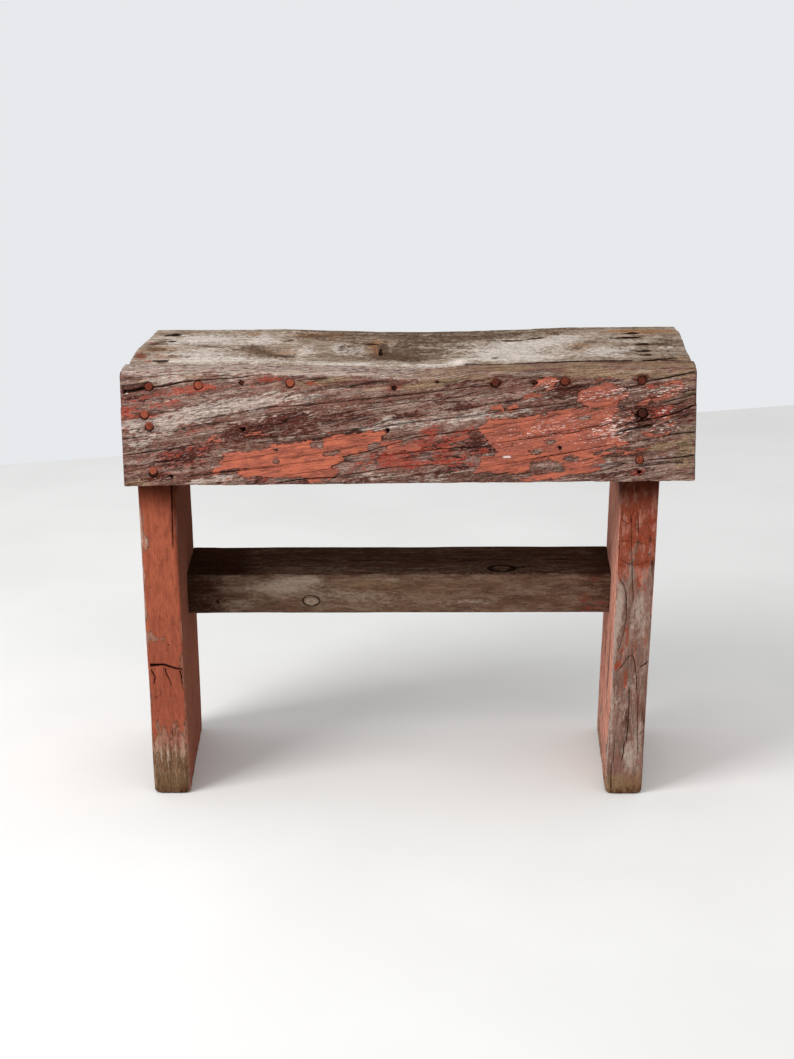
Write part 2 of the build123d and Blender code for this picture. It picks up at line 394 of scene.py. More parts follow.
def nail_recess(skin, a, b, centre, radius, depth, where):
    """The dent round one nail, with a rusty halo drawn out along the board."""
    off_a, off_b = a - centre[0], b - centre[1]
    away = np.hypot(off_a, off_b) - 0.9 * noise(together(a / 2.5, b / 2.5, 0), 34)
    skin.sink(depth * step(away, radius + 0.9, radius - 0.2) * where)
    skin.mark("pit", (0.5 + (radius + 0.35 - away) / 4) * where)
    halo = np.exp(-((off_a / (2.6 * radius)) ** 2) - (off_b / (1.5 * radius)) ** 2)
    skin.mark("rust", 0.8 * halo * where)


def hole(skin, a, b, centre, radius, depth, where):
    """An empty nail hole: a steep pit with a torn rim."""
    away = np.hypot(a - centre[0], b - centre[1])
    rim = radius * (0.45 + 0.9 * noise(together(a / 1.9, b / 1.3, 0), 33))
    skin.sink(depth * step(away, rim + 0.8, rim - 0.5) * where)
    skin.mark("pit", (0.5 + (rim + 0.2 - away) / 4) * where)
    skin.mark("rust", 0.5 * np.exp(-((away / (2.2 * radius)) ** 2)) * where)


def worn_away(x, y):
    """How far sitting has worn the seat down: a long shallow trough, and a deeper dip in front."""
    sagitta = np.sqrt(trough_radius**2 - (x - trough_centre) ** 2) - (trough_radius - trough_depth)
    dip_depth = np.interp(y, (front_face, back_face), (dip_front_depth, dip_back_depth))
    chord = np.sqrt(np.maximum(dip_radius**2 - (x - dip_centre) ** 2, 0.0)) - (dip_radius - dip_depth)
    deeper = 0.5 * (sagitta + chord + np.sqrt((sagitta - chord) ** 2 + wear_blend**2))
    return 0.5 * (deeper + np.sqrt(deeper**2 + wear_blend**2)) - 0.5 * wear_blend


def lower_by_wear(points, low, high):
    """Carries the top down by the seat's wear, and what is below it by its share of the height."""
    share = (points[:, 2] - low[2]) / (high[2] - low[2])
    points[:, 2] -= worn_away(points[:, 0], points[:, 1]) * np.clip(share, 0.0, 1.0) ** 2
    return points


def nails_in(node, axis, outward):
    """Where each nail of a group has its top: one (x, y, z) in mm for each.

    Each nail's point is a tight ring of mesh points at the group's far end. Rings are told apart
    by distance, and the nail's top is the furthest point on the same line.
    """
    point_reach, ring_reach, nail_reach = 3.0, 4.0, 5.0
    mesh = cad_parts[node].data
    places = np.zeros(len(mesh.vertices) * 3)
    mesh.vertices.foreach_get("co", places)
    places = places.reshape(-1, 3) / MM
    depth = places[:, axis] * outward
    flat = np.delete(places, axis, axis=1)
    tips = flat[depth < depth.min() + point_reach]
    found = []
    while len(tips):
        ring = np.hypot(*(tips - tips[0]).T) < ring_reach
        middle = (tips[ring].min(0) + tips[ring].max(0)) / 2
        tips = tips[~ring]
        own = np.hypot(*(flat - middle).T) < nail_reach
        found.append(np.insert(middle, axis, outward * depth[own].max()))
    return sorted(found, key=lambda place: tuple(place))


def nails_of(nodes, axis, outward):
    """Where the nails of several groups have their tops."""
    return [place for node in nodes for place in nails_in(node, axis, outward)]


front_nail_nodes = ["front_apron_seat_nails", "front_apron_left_leg_nails", "front_apron_right_leg_nails"]
plank_nail_nodes = ["seat_left_leg_nails", "seat_right_leg_nails"]
strip_nail_nodes = ["rear_strip_left_leg_nails", "rear_strip_right_leg_nails"]
front_heads = nails_of(front_nail_nodes, ACROSS_Y, -1)
front_stubs = nails_in("front_apron_headless_nails", ACROSS_Y, -1)
plank_stubs = nails_of(plank_nail_nodes, ACROSS_Z, 1)
strip_stubs = nails_of(strip_nail_nodes, ACROSS_Z, 1)
left_leg_heads = nails_in("left_leg_stretcher_nails", ACROSS_X, -1)
right_leg_heads = nails_in("right_leg_stretcher_nails", ACROSS_X, 1)

# Empty holes in the apron's face (x, z) with their radius; nails were pulled or rusted away here.
apron_holes = [
    (-232.5, 352.0, 1.9), (-160.5, 397.5, 2.2), (-128.5, 377.5, 1.2), (-19.0, 395.5, 2.0), (148.5, 377.0, 1.5),
    (226.0, 352.5, 1.8), (-238.5, 425.5, 0.7), (-229.5, 427.0, 0.7), (29.5, 447.0, 1.2),
]


# ------------------------------------------------------------------------------------------
# the front apron
# ------------------------------------------------------------------------------------------
# Paint left on its face: outlines of (x, z).
thick_paint = [
    [(-192, 355), (-186, 363), (-178, 372), (-157, 375), (-143, 377), (-134, 380), (-126, 385), (-100, 387),
     (-96, 384), (-94, 379), (-83, 379), (-80, 387), (-66, 390), (-23, 395), (-22, 388), (-27, 383), (-40, 376),
     (-64, 371), (-62, 366), (-74, 361), (-70, 357), (-66, 352), (-72, 349), (-100, 346), (-106, 349),
     (-118, 350), (-143, 351), (-162, 354), (-170, 358)],
    [(-24, 376), (-20, 384), (-8, 387), (-4, 381), (10, 384), (12, 378), (-12, 373)],
    [(-159, 391), (-157, 397), (-141, 398), (-140, 392)],
    [(-195, 383), (-193, 388), (-182, 391), (-181, 386)],
    [(78, 407), (110, 409), (130, 409), (142, 413), (160, 416), (178, 414), (188, 415), (200, 418), (215, 415),
     (218, 406), (212, 400), (216, 394), (206, 386), (216, 378), (214, 372), (196, 370), (188, 362), (163, 356),
     (155, 355), (150, 362), (135, 366), (119, 364), (117, 356), (97, 354), (66, 353), (71, 368), (85, 369),
     (88, 374), (84, 379), (75, 386), (71, 396)],
    [(163, 424), (168, 432), (180, 438), (196, 438), (214, 435), (213, 427), (205, 424), (200, 417), (188, 414),
     (175, 414)],
    [(222, 420), (236, 426), (246, 436), (256, 443), (266, 441), (267, 434), (256, 427), (243, 422)],
    [(214, 398), (232, 400), (240, 405), (256, 407), (259, 398), (253, 390), (240, 387), (230, 391)],
    [(80, 414), (81, 420), (93, 421), (93, 415)],
    [(98, 415), (99, 419), (123, 425), (124, 420)],
    [(107, 346), (150, 353), (186, 360), (189, 356), (150, 349), (115, 344)],
    [(114, 427), (119, 433), (132, 432), (141, 436), (139, 428), (128, 426)],
    [(120, 437), (127, 443), (135, 448), (148, 446), (141, 439), (130, 436)],
]
# Places inside the big patches where the paint has come away: (x, z, half length, half height).
bare_chips = [
    (-129, 367, 5, 3.5), (-129, 378, 2.5, 2), (-74, 374, 8, 2), (-32, 380, 6, 3.5), (140, 383, 6, 2.5),
    (172, 407, 6, 2.5), (125, 374, 5, 3), (160, 367, 8, 3), (196, 367, 7, 3), (149, 377, 2, 3),
    (207, 391, 5, 2.5), (220, 386, 7, 4), (-166, 357, 5, 1.5), (136, 360, 16, 4),
]
# Places where what is left is frayed along the grain: (x, z, half length, half height, strength).
apron_frayed = [
    (240, 397, 30, 12, 1.2), (246, 432, 30, 13, 1.2), (190, 372, 34, 8, 0.6), (205, 432, 20, 9, 0.8),
    (120, 349, 60, 5, 0.7), (140, 362, 30, 5, 0.5), (130, 436, 20, 12, 0.85), (210, 404, 18, 14, 0.9),
    (213, 382, 14, 10, 0.7), (170, 432, 10, 8, 0.5), (148, 394, 7, 8, 0.25),
]
# Thin worn film of red, broken by the grain: (x, z, half length, half height, strength).
apron_film = [
    (-216, 437, 22, 4, 1.0), (-200, 439, 14, 4, 1.0), (-274, 415, 15, 7, 1.0), (-238, 423, 15, 3, 1.0),
    (-262, 429, 22, 4, 0.5), (-250, 412, 14, 3, 0.6), (-215, 397, 26, 6, 0.36), (-222, 374, 28, 7, 0.32),
    (-198, 380, 14, 8, 0.34), (-252, 376, 26, 8, 0.3), (-235, 361, 36, 5, 0.32), (-132, 447, 12, 3, 0.9),
    (-90, 444, 10, 3, 0.7), (-13, 441, 9, 3, 0.8), (-20, 370, 20, 5, 0.9), (-5, 364, 16, 4, 0.85),
    (4, 379, 14, 5, 1.0), (22, 395, 10, 4, 1.0), (36, 377, 10, 5, 0.95), (5, 361, 14, 3, 0.8),
    (30, 366, 12, 4, 0.8), (52, 389, 14, 4, 0.85), (70, 375, 12, 3, 0.9), (46, 364, 18, 4, 0.55),
    (64, 397, 12, 3, 0.6), (20, 385, 34, 9, 0.4), (55, 360, 22, 4, 0.45), (-30, 360, 30, 4, 0.4),
    (185, 444, 12, 2, 0.7), (236, 437, 12, 3, 0.7), (240, 410, 18, 5, 0.6), (226, 374, 14, 3, 0.6),
    (225, 352, 8, 4, 0.8), (250, 414, 9, 4, 0.7), (60, 418, 18, 3, 0.3), (-120, 357, 90, 18, 0.3),
    (-70, 396, 40, 4, 0.3), (-160, 440, 30, 4, 0.3),
]
apron_stain = [
    (-166, 396, 14, 9, 1.0), (-130, 406, 28, 5, 1.0), (-112, 410, 18, 3, 1.0), (-140, 398, 44, 5, 0.6),
    (-118, 392, 42, 6, 0.55), (-60, 408, 50, 6, 0.45), (-215, 374, 30, 9, 0.5), (-250, 352, 34, 6, 0.6),
    (-165, 362, 18, 5, 0.5), (-150, 348, 24, 4, 0.9), (-110, 345, 34, 2.5, 0.9), (-60, 345, 30, 2.5, 0.7),
    (-6, 410, 9, 3, 0.9), (52, 419, 14, 4, 0.8), (20, 378, 60, 14, 0.5), (70, 384, 10, 8, 0.8),
    (40, 355, 34, 4, 0.8), (88, 375, 8, 3, 0.8), (160, 432, 18, 8, 0.8), (148, 438, 14, 5, 0.8),
    (215, 437, 20, 3, 0.8), (195, 443, 20, 3, 0.5), (190, 349, 34, 3, 0.8), (232, 414, 18, 10, 0.7),
    (262, 406, 20, 9, 0.4), (235, 382, 18, 4, 0.5), (60, 445, 34, 3, 0.5), (225, 352, 12, 4, 0.6),
    (-270, 430, 18, 4, 0.4), (20, 430, 60, 3, 0.3), (86, 444, 9, 4, 0.8), (227, 446, 9, 4, 0.8),
    (-252, 427, 24, 2.5, 0.5), (180, 420, 20, 3, 0.5), (150, 386, 80, 26, 0.35), (50, 425, 60, 12, 0.3),
    (-225, 372, 34, 10, 0.5),
]
apron_pale = [
    (-215, 412, 52, 9, 0.72), (-165, 424, 46, 7, 0.7), (-245, 398, 32, 7, 0.66), (-110, 428, 32, 5, 0.6),
    (-262, 385, 16, 5, 0.6), (-243, 447, 10, 2.5, 1.0), (-225, 446, 12, 2, 0.8), (-207, 347, 7, 2.5, 1.0),
    (-185, 349, 22, 4, 0.75), (-36, 398, 24, 4, 0.7), (-18, 408, 8, 3, 0.9), (68, 411, 10, 5, 1.0),
    (5, 402, 34, 4, 0.5), (45, 405, 30, 4, 0.4), (-40, 350, 26, 4, 0.5), (25, 348, 26, 3, 0.6),
    (-232, 426, 6, 1.5, 1.0), (-90, 415, 60, 5, 0.35), (100, 412, 26, 3, 0.6), (185, 362, 16, 3, 0.5),
    (-270, 405, 12, 5, 0.6), (250, 368, 14, 4, 0.4), (120, 425, 24, 3, 0.4), (-230, 449, 60, 4, 0.45),
    (-150, 451, 60, 3.5, 0.5), (-50, 449, 50, 4, 0.4),
]
apron_warm = [
    (-75, 447, 60, 5, 0.75), (-210, 450, 60, 5, 0.45), (20, 445, 30, 8, 0.6), (60, 452, 90, 4, 0.6),
    (180, 452, 60, 5, 0.5), (272, 452, 16, 6, 1.0), (270, 372, 12, 26, 0.7), (245, 378, 16, 5, 1.0),
    (-215, 343, 46, 3, 0.6), (-265, 346, 18, 5, 0.6), (272, 430, 10, 16, 0.5),
]
apron_fleck = [
    (248, 433, 24, 8, 0.9), (249, 397, 14, 9, 0.85), (208, 401, 20, 14, 0.7), (200, 431, 18, 7, 0.75),
    (137, 440, 16, 7, 0.75), (175, 428, 14, 7, 0.5), (190, 388, 26, 12, 0.55), (150, 400, 44, 14, 0.4),
    (108, 390, 40, 16, 0.3), (250, 413, 8, 4, 0.8), (-215, 412, 50, 8, 0.12), (-250, 390, 30, 12, 0.2),
    (172, 362, 22, 6, 0.3),
]
white_chips = [(97, 369, 4.5, 1.6, 3.0), (-273, 434, 2, 1.4, 3.0)]
# Long cracks in its face: places (x, z) along each, its half width at both ends, and its depth.
apron_cracks = [
    ([(-282, 434), (-268, 435.5), (-252, 439)], (1.3, 0.7), 4.0),
    ([(-254, 438.8), (-235, 440.5), (-220, 444), (-196, 446.3), (-161, 448.3), (-142, 452)], (0.5, 0.2), 2.4),
    ([(-280, 389), (-264, 391), (-252, 392)], (0.45, 0.15), 1.5),
    ([(-278, 373.5), (-252, 377), (-226, 380.5), (-205, 384)], (0.45, 0.15), 1.5),
    ([(-211, 407), (-174, 412), (-135, 419.6), (-100, 421), (-38, 428), (33, 436.5), (95, 443)], (0.12, 0.22), 1.6),
    ([(-85, 409.5), (-40, 417), (7, 424.6), (60, 430)], (0.2, 0.1), 1.2),
    ([(-104, 391.6), (-43, 398), (23, 405.6), (85, 412)], (0.15, 0.12), 1.2),
    ([(-66, 370), (-39, 375.6), (10, 389.4), (94, 399)], (0.34, 0.14), 1.2),
    ([(-67, 351), (-16, 359.6), (30, 362)], (0.3, 0.1), 1.4),
    ([(-16, 371.6), (30, 377), (86, 379.6)], (0.15, 0.3), 1.2),
    ([(-216, 352), (-162, 358)], (0.2, 0.3), 1.4),
    ([(-66, 364), (-75, 361), (-72, 357)], (0.3, 0.3), 1.0),
    ([(-108, 347), (-72, 349.5), (-66, 354)], (0.3, 0.3), 1.0),
    ([(100, 385), (140, 391), (180, 398), (212, 404)], (0.15, 0.3), 1.2),
    ([(118, 364), (128, 368), (150, 371), (185, 376)], (0.3, 0.1), 1.2),
    ([(281, 452), (250, 445), (221, 440)], (0.6, 0.22), 2.4),
    ([(281, 419.6), (255, 409), (229, 403), (206, 399)], (0.6, 0.3), 2.4),
    ([(281, 430), (262, 425), (248, 421)], (0.38, 0.15), 1.6),
    ([(239, 399.5), (222, 396), (205, 392.6)], (0.68, 0.52), 2.2),
    ([(281, 392), (262, 390.5), (246, 388)], (0.52, 0.22), 2.2),
    ([(281, 368.9), (258, 366), (234, 364.6)], (0.6, 0.22), 2.2),
    ([(115, 365.4), (155, 372), (197, 379.8)], (0.26, 0.22), 1.2),
    ([(81, 382), (160, 392), (197, 400), (215, 405)], (0.22, 0.26), 1.2),
    ([(100, 415), (150, 421), (166, 424)], (0.22, 0.22), 1.2),
    ([(-130, 344.5), (-100, 349), (-68, 350)], (0.45, 0.38), 1.6),
    ([(-184, 366), (-150, 371), (-112, 378)], (0.05, 0.1), 0.5),
    ([(-165, 357), (-120, 363), (-74, 369)], (0.12, 0.05), 0.5),
    ([(-124, 352), (-95, 356), (-67, 360)], (0.05, 0.1), 0.5),
    ([(-108, 371), (-66, 378), (-26, 384)], (0.1, 0.05), 0.5),
    ([(76, 399), (110, 403), (152, 411)], (0.05, 0.1), 0.5),
    ([(88, 361), (104, 363), (118, 366)], (0.1, 0.05), 0.5),
    ([(160, 383), (190, 388), (212, 391)], (0.05, 0.15), 0.6),
]
rotted_place = (227.5, 410)       # the wood round one nail has rotted away
missing_splinter = [(-282, 433), (-282, 442), (-268, 443.5), (-250, 445), (-247, 439), (-268, 435)]


def apron_rounding(flat):
    """The top front arris is worn round, the others are nearly sharp, and all are uneven."""
    x, y, z = flat.T
    uneven = layered(together(x / 22, 1.5, 0.5), 3, 12)
    top_front = (y < (front_face + apron_back) / 2) & (z > 420)
    long_edge = np.where(top_front, 8.0 + 3.0 * (uneven - 0.5), 0.9 + 1.3 * uneven)
    bottom = z < 365
    long_edge = np.where(bottom, 1.1 + 2.4 * np.maximum(uneven - 0.35, 0.0), long_edge)
    end = 0.8 + 1.3 * layered(together(z / 9, y / 9, 0), 2, 14)
    return together(end, long_edge, long_edge)


def make_front_apron(finish):
    """The deep board along the front, with its paint, cracks, nails and holes."""
    nails = front_heads + front_stubs
    ends = [apron_low[0], apron_high[0]]
    skin = Skin(
        cuts(*ends, 2.2, 1.2, [nail[0] for nail in nails] + ends, 5),
        cuts(front_face, apron_back, 3.2, 1.1, [front_face], 9),
        cuts(apron_low[2], apron_high[2], 1.05, 0.85, [apron_low[2], 442], 8),
        apron_rounding,
    )
    x, y, z = skin.points.T
    fx, fy, fz = skin.facing.T
    front = step(-fy, 0.25, 0.75)
    grain = flowing(x, z + (y - front_face) - apron_grain_slope * x, y - 0.4 * z, 21)
    tilted = z - apron_grain_slope * x

    def tilt(places):
        """Areas given at (x, z), turned to lie along the climbing grain."""
        return [(at, bt - apron_grain_slope * at, wide, high, strength) for at, bt, wide, high, strength in places]

    weather(skin, grain, 22, groove=0.55, swell=0.5, check=1.2, taken=-0.2)
    skin.keep_ends(ACROSS_X)
    open_cracks(skin, x, z, apron_cracks, front)
    splinter = step(reach_inside(missing_splinter, x, z), 0.0, 1.6) * front
    skin.sink(3.2 * splinter)
    skin.mark("valley", splinter)
    # Painted shade: the inside of the splinter's hollow is darkened as if in shadow.
    skin.mark("grime", 0.75 * splinter)

    level = painted(thick_paint, x, z)
    for at_x, at_z, half_long, half_high in bare_chips:
        chip = np.hypot((x - at_x) / half_long, ((z - at_z) - apron_grain_slope * (x - at_x)) / half_high)
        level = np.minimum(level, np.clip(0.5 + (chip - 1) * half_high / 6, 0.0, 1.0))
    level = np.minimum(level, 1 - 0.52 * spots(x, tilted, tilt(apron_frayed)))
    skin.mark("paint", level * front)
    skin.sink(-0.22 * step(level, 0.4, 0.6) * front)
    back_film = 0.75 * step(layered(grain / (70.0, 14.0, 30.0), 2, 41), 0.55, 0.75) * step(fy, 0.3, 0.8)
    skin.mark("film", 0.4 * back_film)
    skin.mark_spots(front, x, tilted, film=tilt(apron_film), stain=tilt(apron_stain), pale=tilt(apron_pale),
                    warm=tilt(apron_warm))
    crest = step(z, 441, 449) * (0.3 + 0.5 * step(noise(together(x / 34, y / 9, 0), 6), 0.3, 0.7))
    crest = crest * (0.3 + 0.7 * step(x, -60, 80))
    skin.mark("warm", crest)
    skin.mark("pale", 0.66 * step(fz, 0.2, 0.7) * step(x, 140, -20))
    skin.mark("fleck", np.minimum(spots(x, tilted, tilt(apron_fleck)), 0.92) * front)
    skin.mark_spots(front, x, z, fleck=white_chips)
    skin.mark("end", step(np.abs(fx), 0.5, 0.9))

    for nail in front_heads:
        faint = nail[0] > 200 and nail[2] < 380
        nail_recess(skin, x, z, (nail[0], nail[2]), 3.6 if faint else 3.95, 1.2, front)
    for nail in front_stubs:
        hole(skin, x, z, (nail[0], nail[2]), 2.8, 2.4, front)
    for at_x, at_z, radius in apron_holes:
        hole(skin, x, z, (at_x, at_z), radius, 5.0, front)
    hole(skin, x, z, rotted_place, 6.3, 3.0, front)

    points = skin.shaped()
    drop = apron_left_drop * (0.5 - x / (2 * half_length)) * (apron_high[2] - z) / (apron_high[2] - apron_low[2])
    points[:, 2] -= drop
    points = lower_by_wear(points, apron_low + np.array([0, 0, 60]), apron_high)
    make_piece("worn_front_apron", points, skin.faces, finish, ["front_apron"],
               skin.marks, grain)


# ------------------------------------------------------------------------------------------
# the seat boards
# ------------------------------------------------------------------------------------------
# Dark areas of the seat top: stains and dirt, and beside the bent nail a painted shadow.
seat_dark = [
    (-163, 6, 12, 17, 1.0), (-148, -18, 14, 15, 1.0), (-128, -40, 17, 11, 1.0), (-128, 50, 5, 12, 0.8),
    (-108, 78, 14, 14, 0.5), (-85, 70, 30, 26, 0.4), (20, 56, 50, 34, 0.75), (-20, 92, 110, 14, 0.5),
    (-5, 5, 22, 42, 0.6), (-30, -20, 40, 24, 0.4), (72, 72, 36, 20, 0.5), (118, 86, 36, 12, 0.5),
    (45, 20, 20, 14, 0.4), (150, 78, 7, 9, 0.9), (168, -8, 9, 24, 0.6), (184, 22, 10, 10, 0.5),
    (224, 50, 12, 5, 1.0), (236, 57, 6, 5, 1.0), (258, 10, 17, 14, 0.65), (262, -40, 16, 22, 0.5),
    (250, -68, 18, 6, 0.9), (200, -76, 70, 3, 1.0), (62, -71, 6, 5, 1.0), (100, -77, 40, 3, 0.9),
    (-256, 82, 8, 5, 0.9), (-256, 56, 7, 5, 0.9), (-262, 32, 11, 11, 0.7), (-255, 0, 14, 12, 0.6),
    (-235, -38, 14, 14, 0.5), (-268, -35, 8, 22, 0.7), (40, 108, 240, 7, 0.6), (-71, 14, 2.5, 13, 0.8),
    (-43, 40, 8, 9, 1.0), (-28, 16, 4, 40, 0.7), (-60, 30, 10, 44, 0.35), (-190, -10, 16, 8, 0.4),
    (225, 10, 12, 60, 0.3), (-10, -36, 34, 16, 0.7), (25, -8, 26, 18, 0.5), (66, -28, 6, 10, 0.5),
    (86, -44, 4, 7, 0.8), (258, 34, 16, 18, 0.6), (236, 11, 7, 9, 0.9), (-245, -66, 7, 8, 0.9),
    # Of the next row, the last two spots, to the right of the bent nail, are its painted shadow.
    (-248, 83, 7, 7, 0.9), (-28, -8, 4, 24, 1.3), (-26, -18, 6, 8, 1.0),
]
seat_pale = [
    (-215, 55, 54, 32, 0.9), (-215, -30, 40, 34, 0.8), (-190, -60, 60, 18, 0.75), (-108, -10, 11, 32, 0.8),
    (-150, 50, 20, 28, 0.7), (-71, 12, 9, 27, 1.0), (-70, -70, 46, 10, 1.0), (20, -66, 36, 8, 0.9),
    (50, -58, 6, 16, 1.0), (100, 0, 46, 42, 1.0), (85, -35, 30, 22, 0.8), (135, 30, 28, 16, 0.95),
    (120, -50, 40, 14, 0.7), (195, -22, 26, 24, 0.9), (160, 45, 26, 14, 0.6), (205, -55, 22, 10, 0.6),
    (215, 35, 18, 16, 0.5), (-53, 0, 6, 40, 0.4), (50, -60, 7, 14, 1.5), (165, 62, 30, 14, 0.5),
    (260, -8, 14, 10, 0.4),
]
seat_warm = [
    (-168, 82, 7, 8, 1.0), (250, 84, 32, 14, 1.0), (222, 86, 20, 9, 0.9), (-108, 80, 14, 14, 0.8),
    (-255, 0, 16, 14, 0.9), (-240, -40, 16, 14, 0.6), (175, 0, 14, 26, 0.5), (-80, 88, 12, 10, 0.9),
    (-60, 60, 60, 30, 0.35), (-140, -10, 34, 34, 0.4), (262, -70, 20, 8, 0.6), (-38, 20, 7, 36, 0.8),
]
seat_film = [
    (-268, -32, 10, 26, 0.62), (-266, 34, 8, 9, 0.62), (-254, -62, 14, 8, 0.62), (-250, -28, 6, 20, 0.4),
    (250, 62, 16, 7, 0.45),
]
seat_cracks = [
    ([(-222, 20), (-198, 14), (-180, 2), (-163, -14)], (1.6, 1.3), 1.4),
    ([(-54, 44), (-44, 40), (-32, 34)], (2.2, 3.2), 2.0),
    # Not a crack: a narrow dark wedge to the right of the bent nail, its painted shadow, sunk a little into the
    # seat.
    ([(-30.8, 20), (-30.2, -4), (-29.6, -22)], (0.5, 2.6), 1.4),
    ([(80, 59), (90, 51), (104, 48), (118, 50), (128, 56), (140, 67)], (2.4, 4.2), 1.8),
    ([(58, -71), (120, -76.5), (200, -77), (279, -76)], (1.4, 2.4), 1.0),
    ([(196, 50), (214, 48), (228, 50), (240, 56)], (2.4, 4.6), 3.0),
    ([(222, -74), (250, -70), (268, -60)], (1.6, 3.4), 3.0),
    ([(72, -3), (84, -9), (92, -10)], (1.2, 0.6), 1.4),
    ([(100, -50), (128, -48), (150, -49)], (0.5, 0.5), 1.2),
    ([(212, -20), (240, -18), (276, -26)], (0.7, 1.2), 1.4),
    ([(215, 14), (246, 20), (276, 18)], (0.8, 1.6), 1.6),
    ([(-276, 30), (-250, 33), (-226, 31)], (1.0, 0.6), 1.6),
    ([(180, 4), (200, 2), (222, 4)], (0.5, 0.9), 1.2),
    ([(-62, -50), (-10, -54), (46, -60)], (0.5, 0.5), 1.0),
    ([(-270, -70), (-200, -71), (-120, -72)], (0.5, 0.4), 1.0),
]
seat_knot = (-71.0, 14.0, 4.0, 13.0)
seat_gouges = [(-134, -8, 22, 9, 1.0), (-115, -26, 14, 7, 0.7)]
# Painted shadow of the bent nail: soft dark spots on the seat to its right.
bent_nail_grime = [(-28.6, -4, 3.4, 26, 1.0), (-27, -19, 5, 7, 1.0)]
seat_fleck = [(50, -59, 6, 13, 1.8)]
bent_nail_low, bent_nail_high = box_mm("bent_seat_nail")
bent_nail_half = 1.8             # half the width of the solid nail, in mm
bent_nail_x = bent_nail_high[0] - bent_nail_half
bent_nail_y = (bent_nail_low[1] + bent_nail_high[1]) / 2


def seat_rounding(outer_edge):
    """Nearly sharp where boards meet, softer on the seat's outer edge, and uneven at the ends."""
    def rounding(flat):
        x, y, z = flat.T
        uneven = layered(together(x / 26, 0, 3.5), 3, 52)
        top = z > z.mean()
        outer = np.abs(y - outer_edge) < 20
        long_edge = np.where(outer & top, 1.6 + 3.4 * uneven, 0.7 + 0.9 * uneven)
        end = 1.3 + 2.2 * layered(together(y / 11, z / 11, 0), 2, 53)
        return together(end, long_edge, long_edge)
    return rounding


def make_seat_board(name, node, low, high, outer_edge, stubs, seed, finish):
    """One of the two flat boards of the seat."""
    ends = [low[0], high[0]]
    stub_x = [stub[0] for stub in stubs] + ends
    stub_y = [stub[1] for stub in stubs] + [low[1], high[1]]
    if node == "seat_plank":
        stub_x = stub_x + [bent_nail_x]
    wide = high[1] - low[1]
    skin = Skin(
        cuts(*ends, 2.2, 1.1, stub_x, 5),
        cuts(low[1], high[1], 1.15 if wide > 100 else 0.95, 0.9, stub_y, 3),
        cuts(low[2], high[2], 3.0, 1.0, [high[2], low[2]], 3),
        seat_rounding(outer_edge),
    )
    x, y, z = skin.points.T
    fx, fy, fz = skin.facing.T
    top = step(fz, 0.3, 0.8)
    t = y + 0.6 * (high[2] - z)
    grain = flowing(x, t, z + 0.3 * y, seed, sway=3.2)
    if node == "seat_plank":
        round_knot(skin, grain, x, y, seat_knot, "stain")
    weather(skin, grain, seed + 1, groove=0.45, swell=0.6, fibre_wide=2.8, check=0.8, taken=-0.2)
    open_cracks(skin, x, y, seat_cracks, top)
    skin.sink(1.6 * spots(x, y, seat_gouges) * top)
    skin.mark("grime", 0.55 * np.maximum(spots(x, y, seat_dark) - 0.25, 0.0) * top)
    skin.mark_spots(top, x, y, stain=seat_dark, grime=bent_nail_grime, pale=seat_pale, warm=seat_warm,
                    fleck=seat_fleck, film=seat_film)
    skin.mark("warm", 0.5 * step(np.abs(fy), 0.5, 0.9))
    old_film = layered(grain / (60.0, 9.0, 20.0), 2, seed + 9)
    skin.mark("film", 0.8 * step(old_film, 0.5, 0.7) * step(fy, 0.5, 0.9))
    skin.mark("end", step(np.abs(fx), 0.5, 0.9))
    for at_x, at_y, _ in stubs:
        nail_recess(skin, x, y, (at_x, at_y), 2.4, 2.4, top)
        split(skin, x, y, [(at_x + 3, at_y), (at_x - 3, at_y), (at_x - 8, at_y + 1)], (4.6, 2.0), 1.5, top)
        skin.sink(0.8 * spots(x, y, [(at_x - 7, at_y, 7, 1.6, 1.0)]) * top)
    if node == "seat_plank":
        nail_recess(skin, x, y, (bent_nail_x, bent_nail_y), 2.0, 1.2, top)
    points = lower_by_wear(skin.shaped(), low, high)
    points[:, 0] -= 4.0 * np.exp(-(((y - 5) / 62) ** 2)) * step(x, -215, -274)
    points[:, 0] += 1.8 * np.exp(-(((y - 62) / 45) ** 2)) * step(x, 215, 276)
    make_piece(name, points, skin.faces, finish, [node], skin.marks, grain)


# ------------------------------------------------------------------------------------------
# the legs
# ------------------------------------------------------------------------------------------
def leg_rounding(worn_arris):
    """Arrises worn softer towards the foot, and the foot itself rounded off."""
    def rounding(flat):
        x, y, z = flat.T
        uneven = layered(together(z / 24, y / 300, 0.5), 3, 62)
        long_edge = 1.2 + worn_arris * uneven + 2.2 * step(z, 40, 0)
        from_side = np.minimum(x, leg_thickness - x)
        foot = np.where(z < leg_height / 2, 1.0 + 3.5 * np.exp(-((from_side / 5) ** 2)), 0.8)
        return together(long_edge, long_edge, foot)
    return rounding


def place_leg(points, side, leg_set):
    """Carries a plank from its own thickness onto the leg: leaning, toed out and thinned.

    The thickness runs from 0 on the inner face to leg_thickness on the outer face. Each face is a
    flat sheet, so x is found between the two faces at the same height and place across.
    """
    foot_inset, lean, outer_toe, inner_toe = leg_set
    thick, y, z = points.T
    back = (y - apron_back) / leg_depth
    outer = half_length - foot_inset + sawn_out + lean * z / leg_height + outer_toe * back
    inner = half_length - foot_inset + sawn_out - leg_thickness + lean * z / leg_height + inner_toe * back
    x = side * (inner + (outer - inner) * thick / leg_thickness)
    return together(x, y, z)


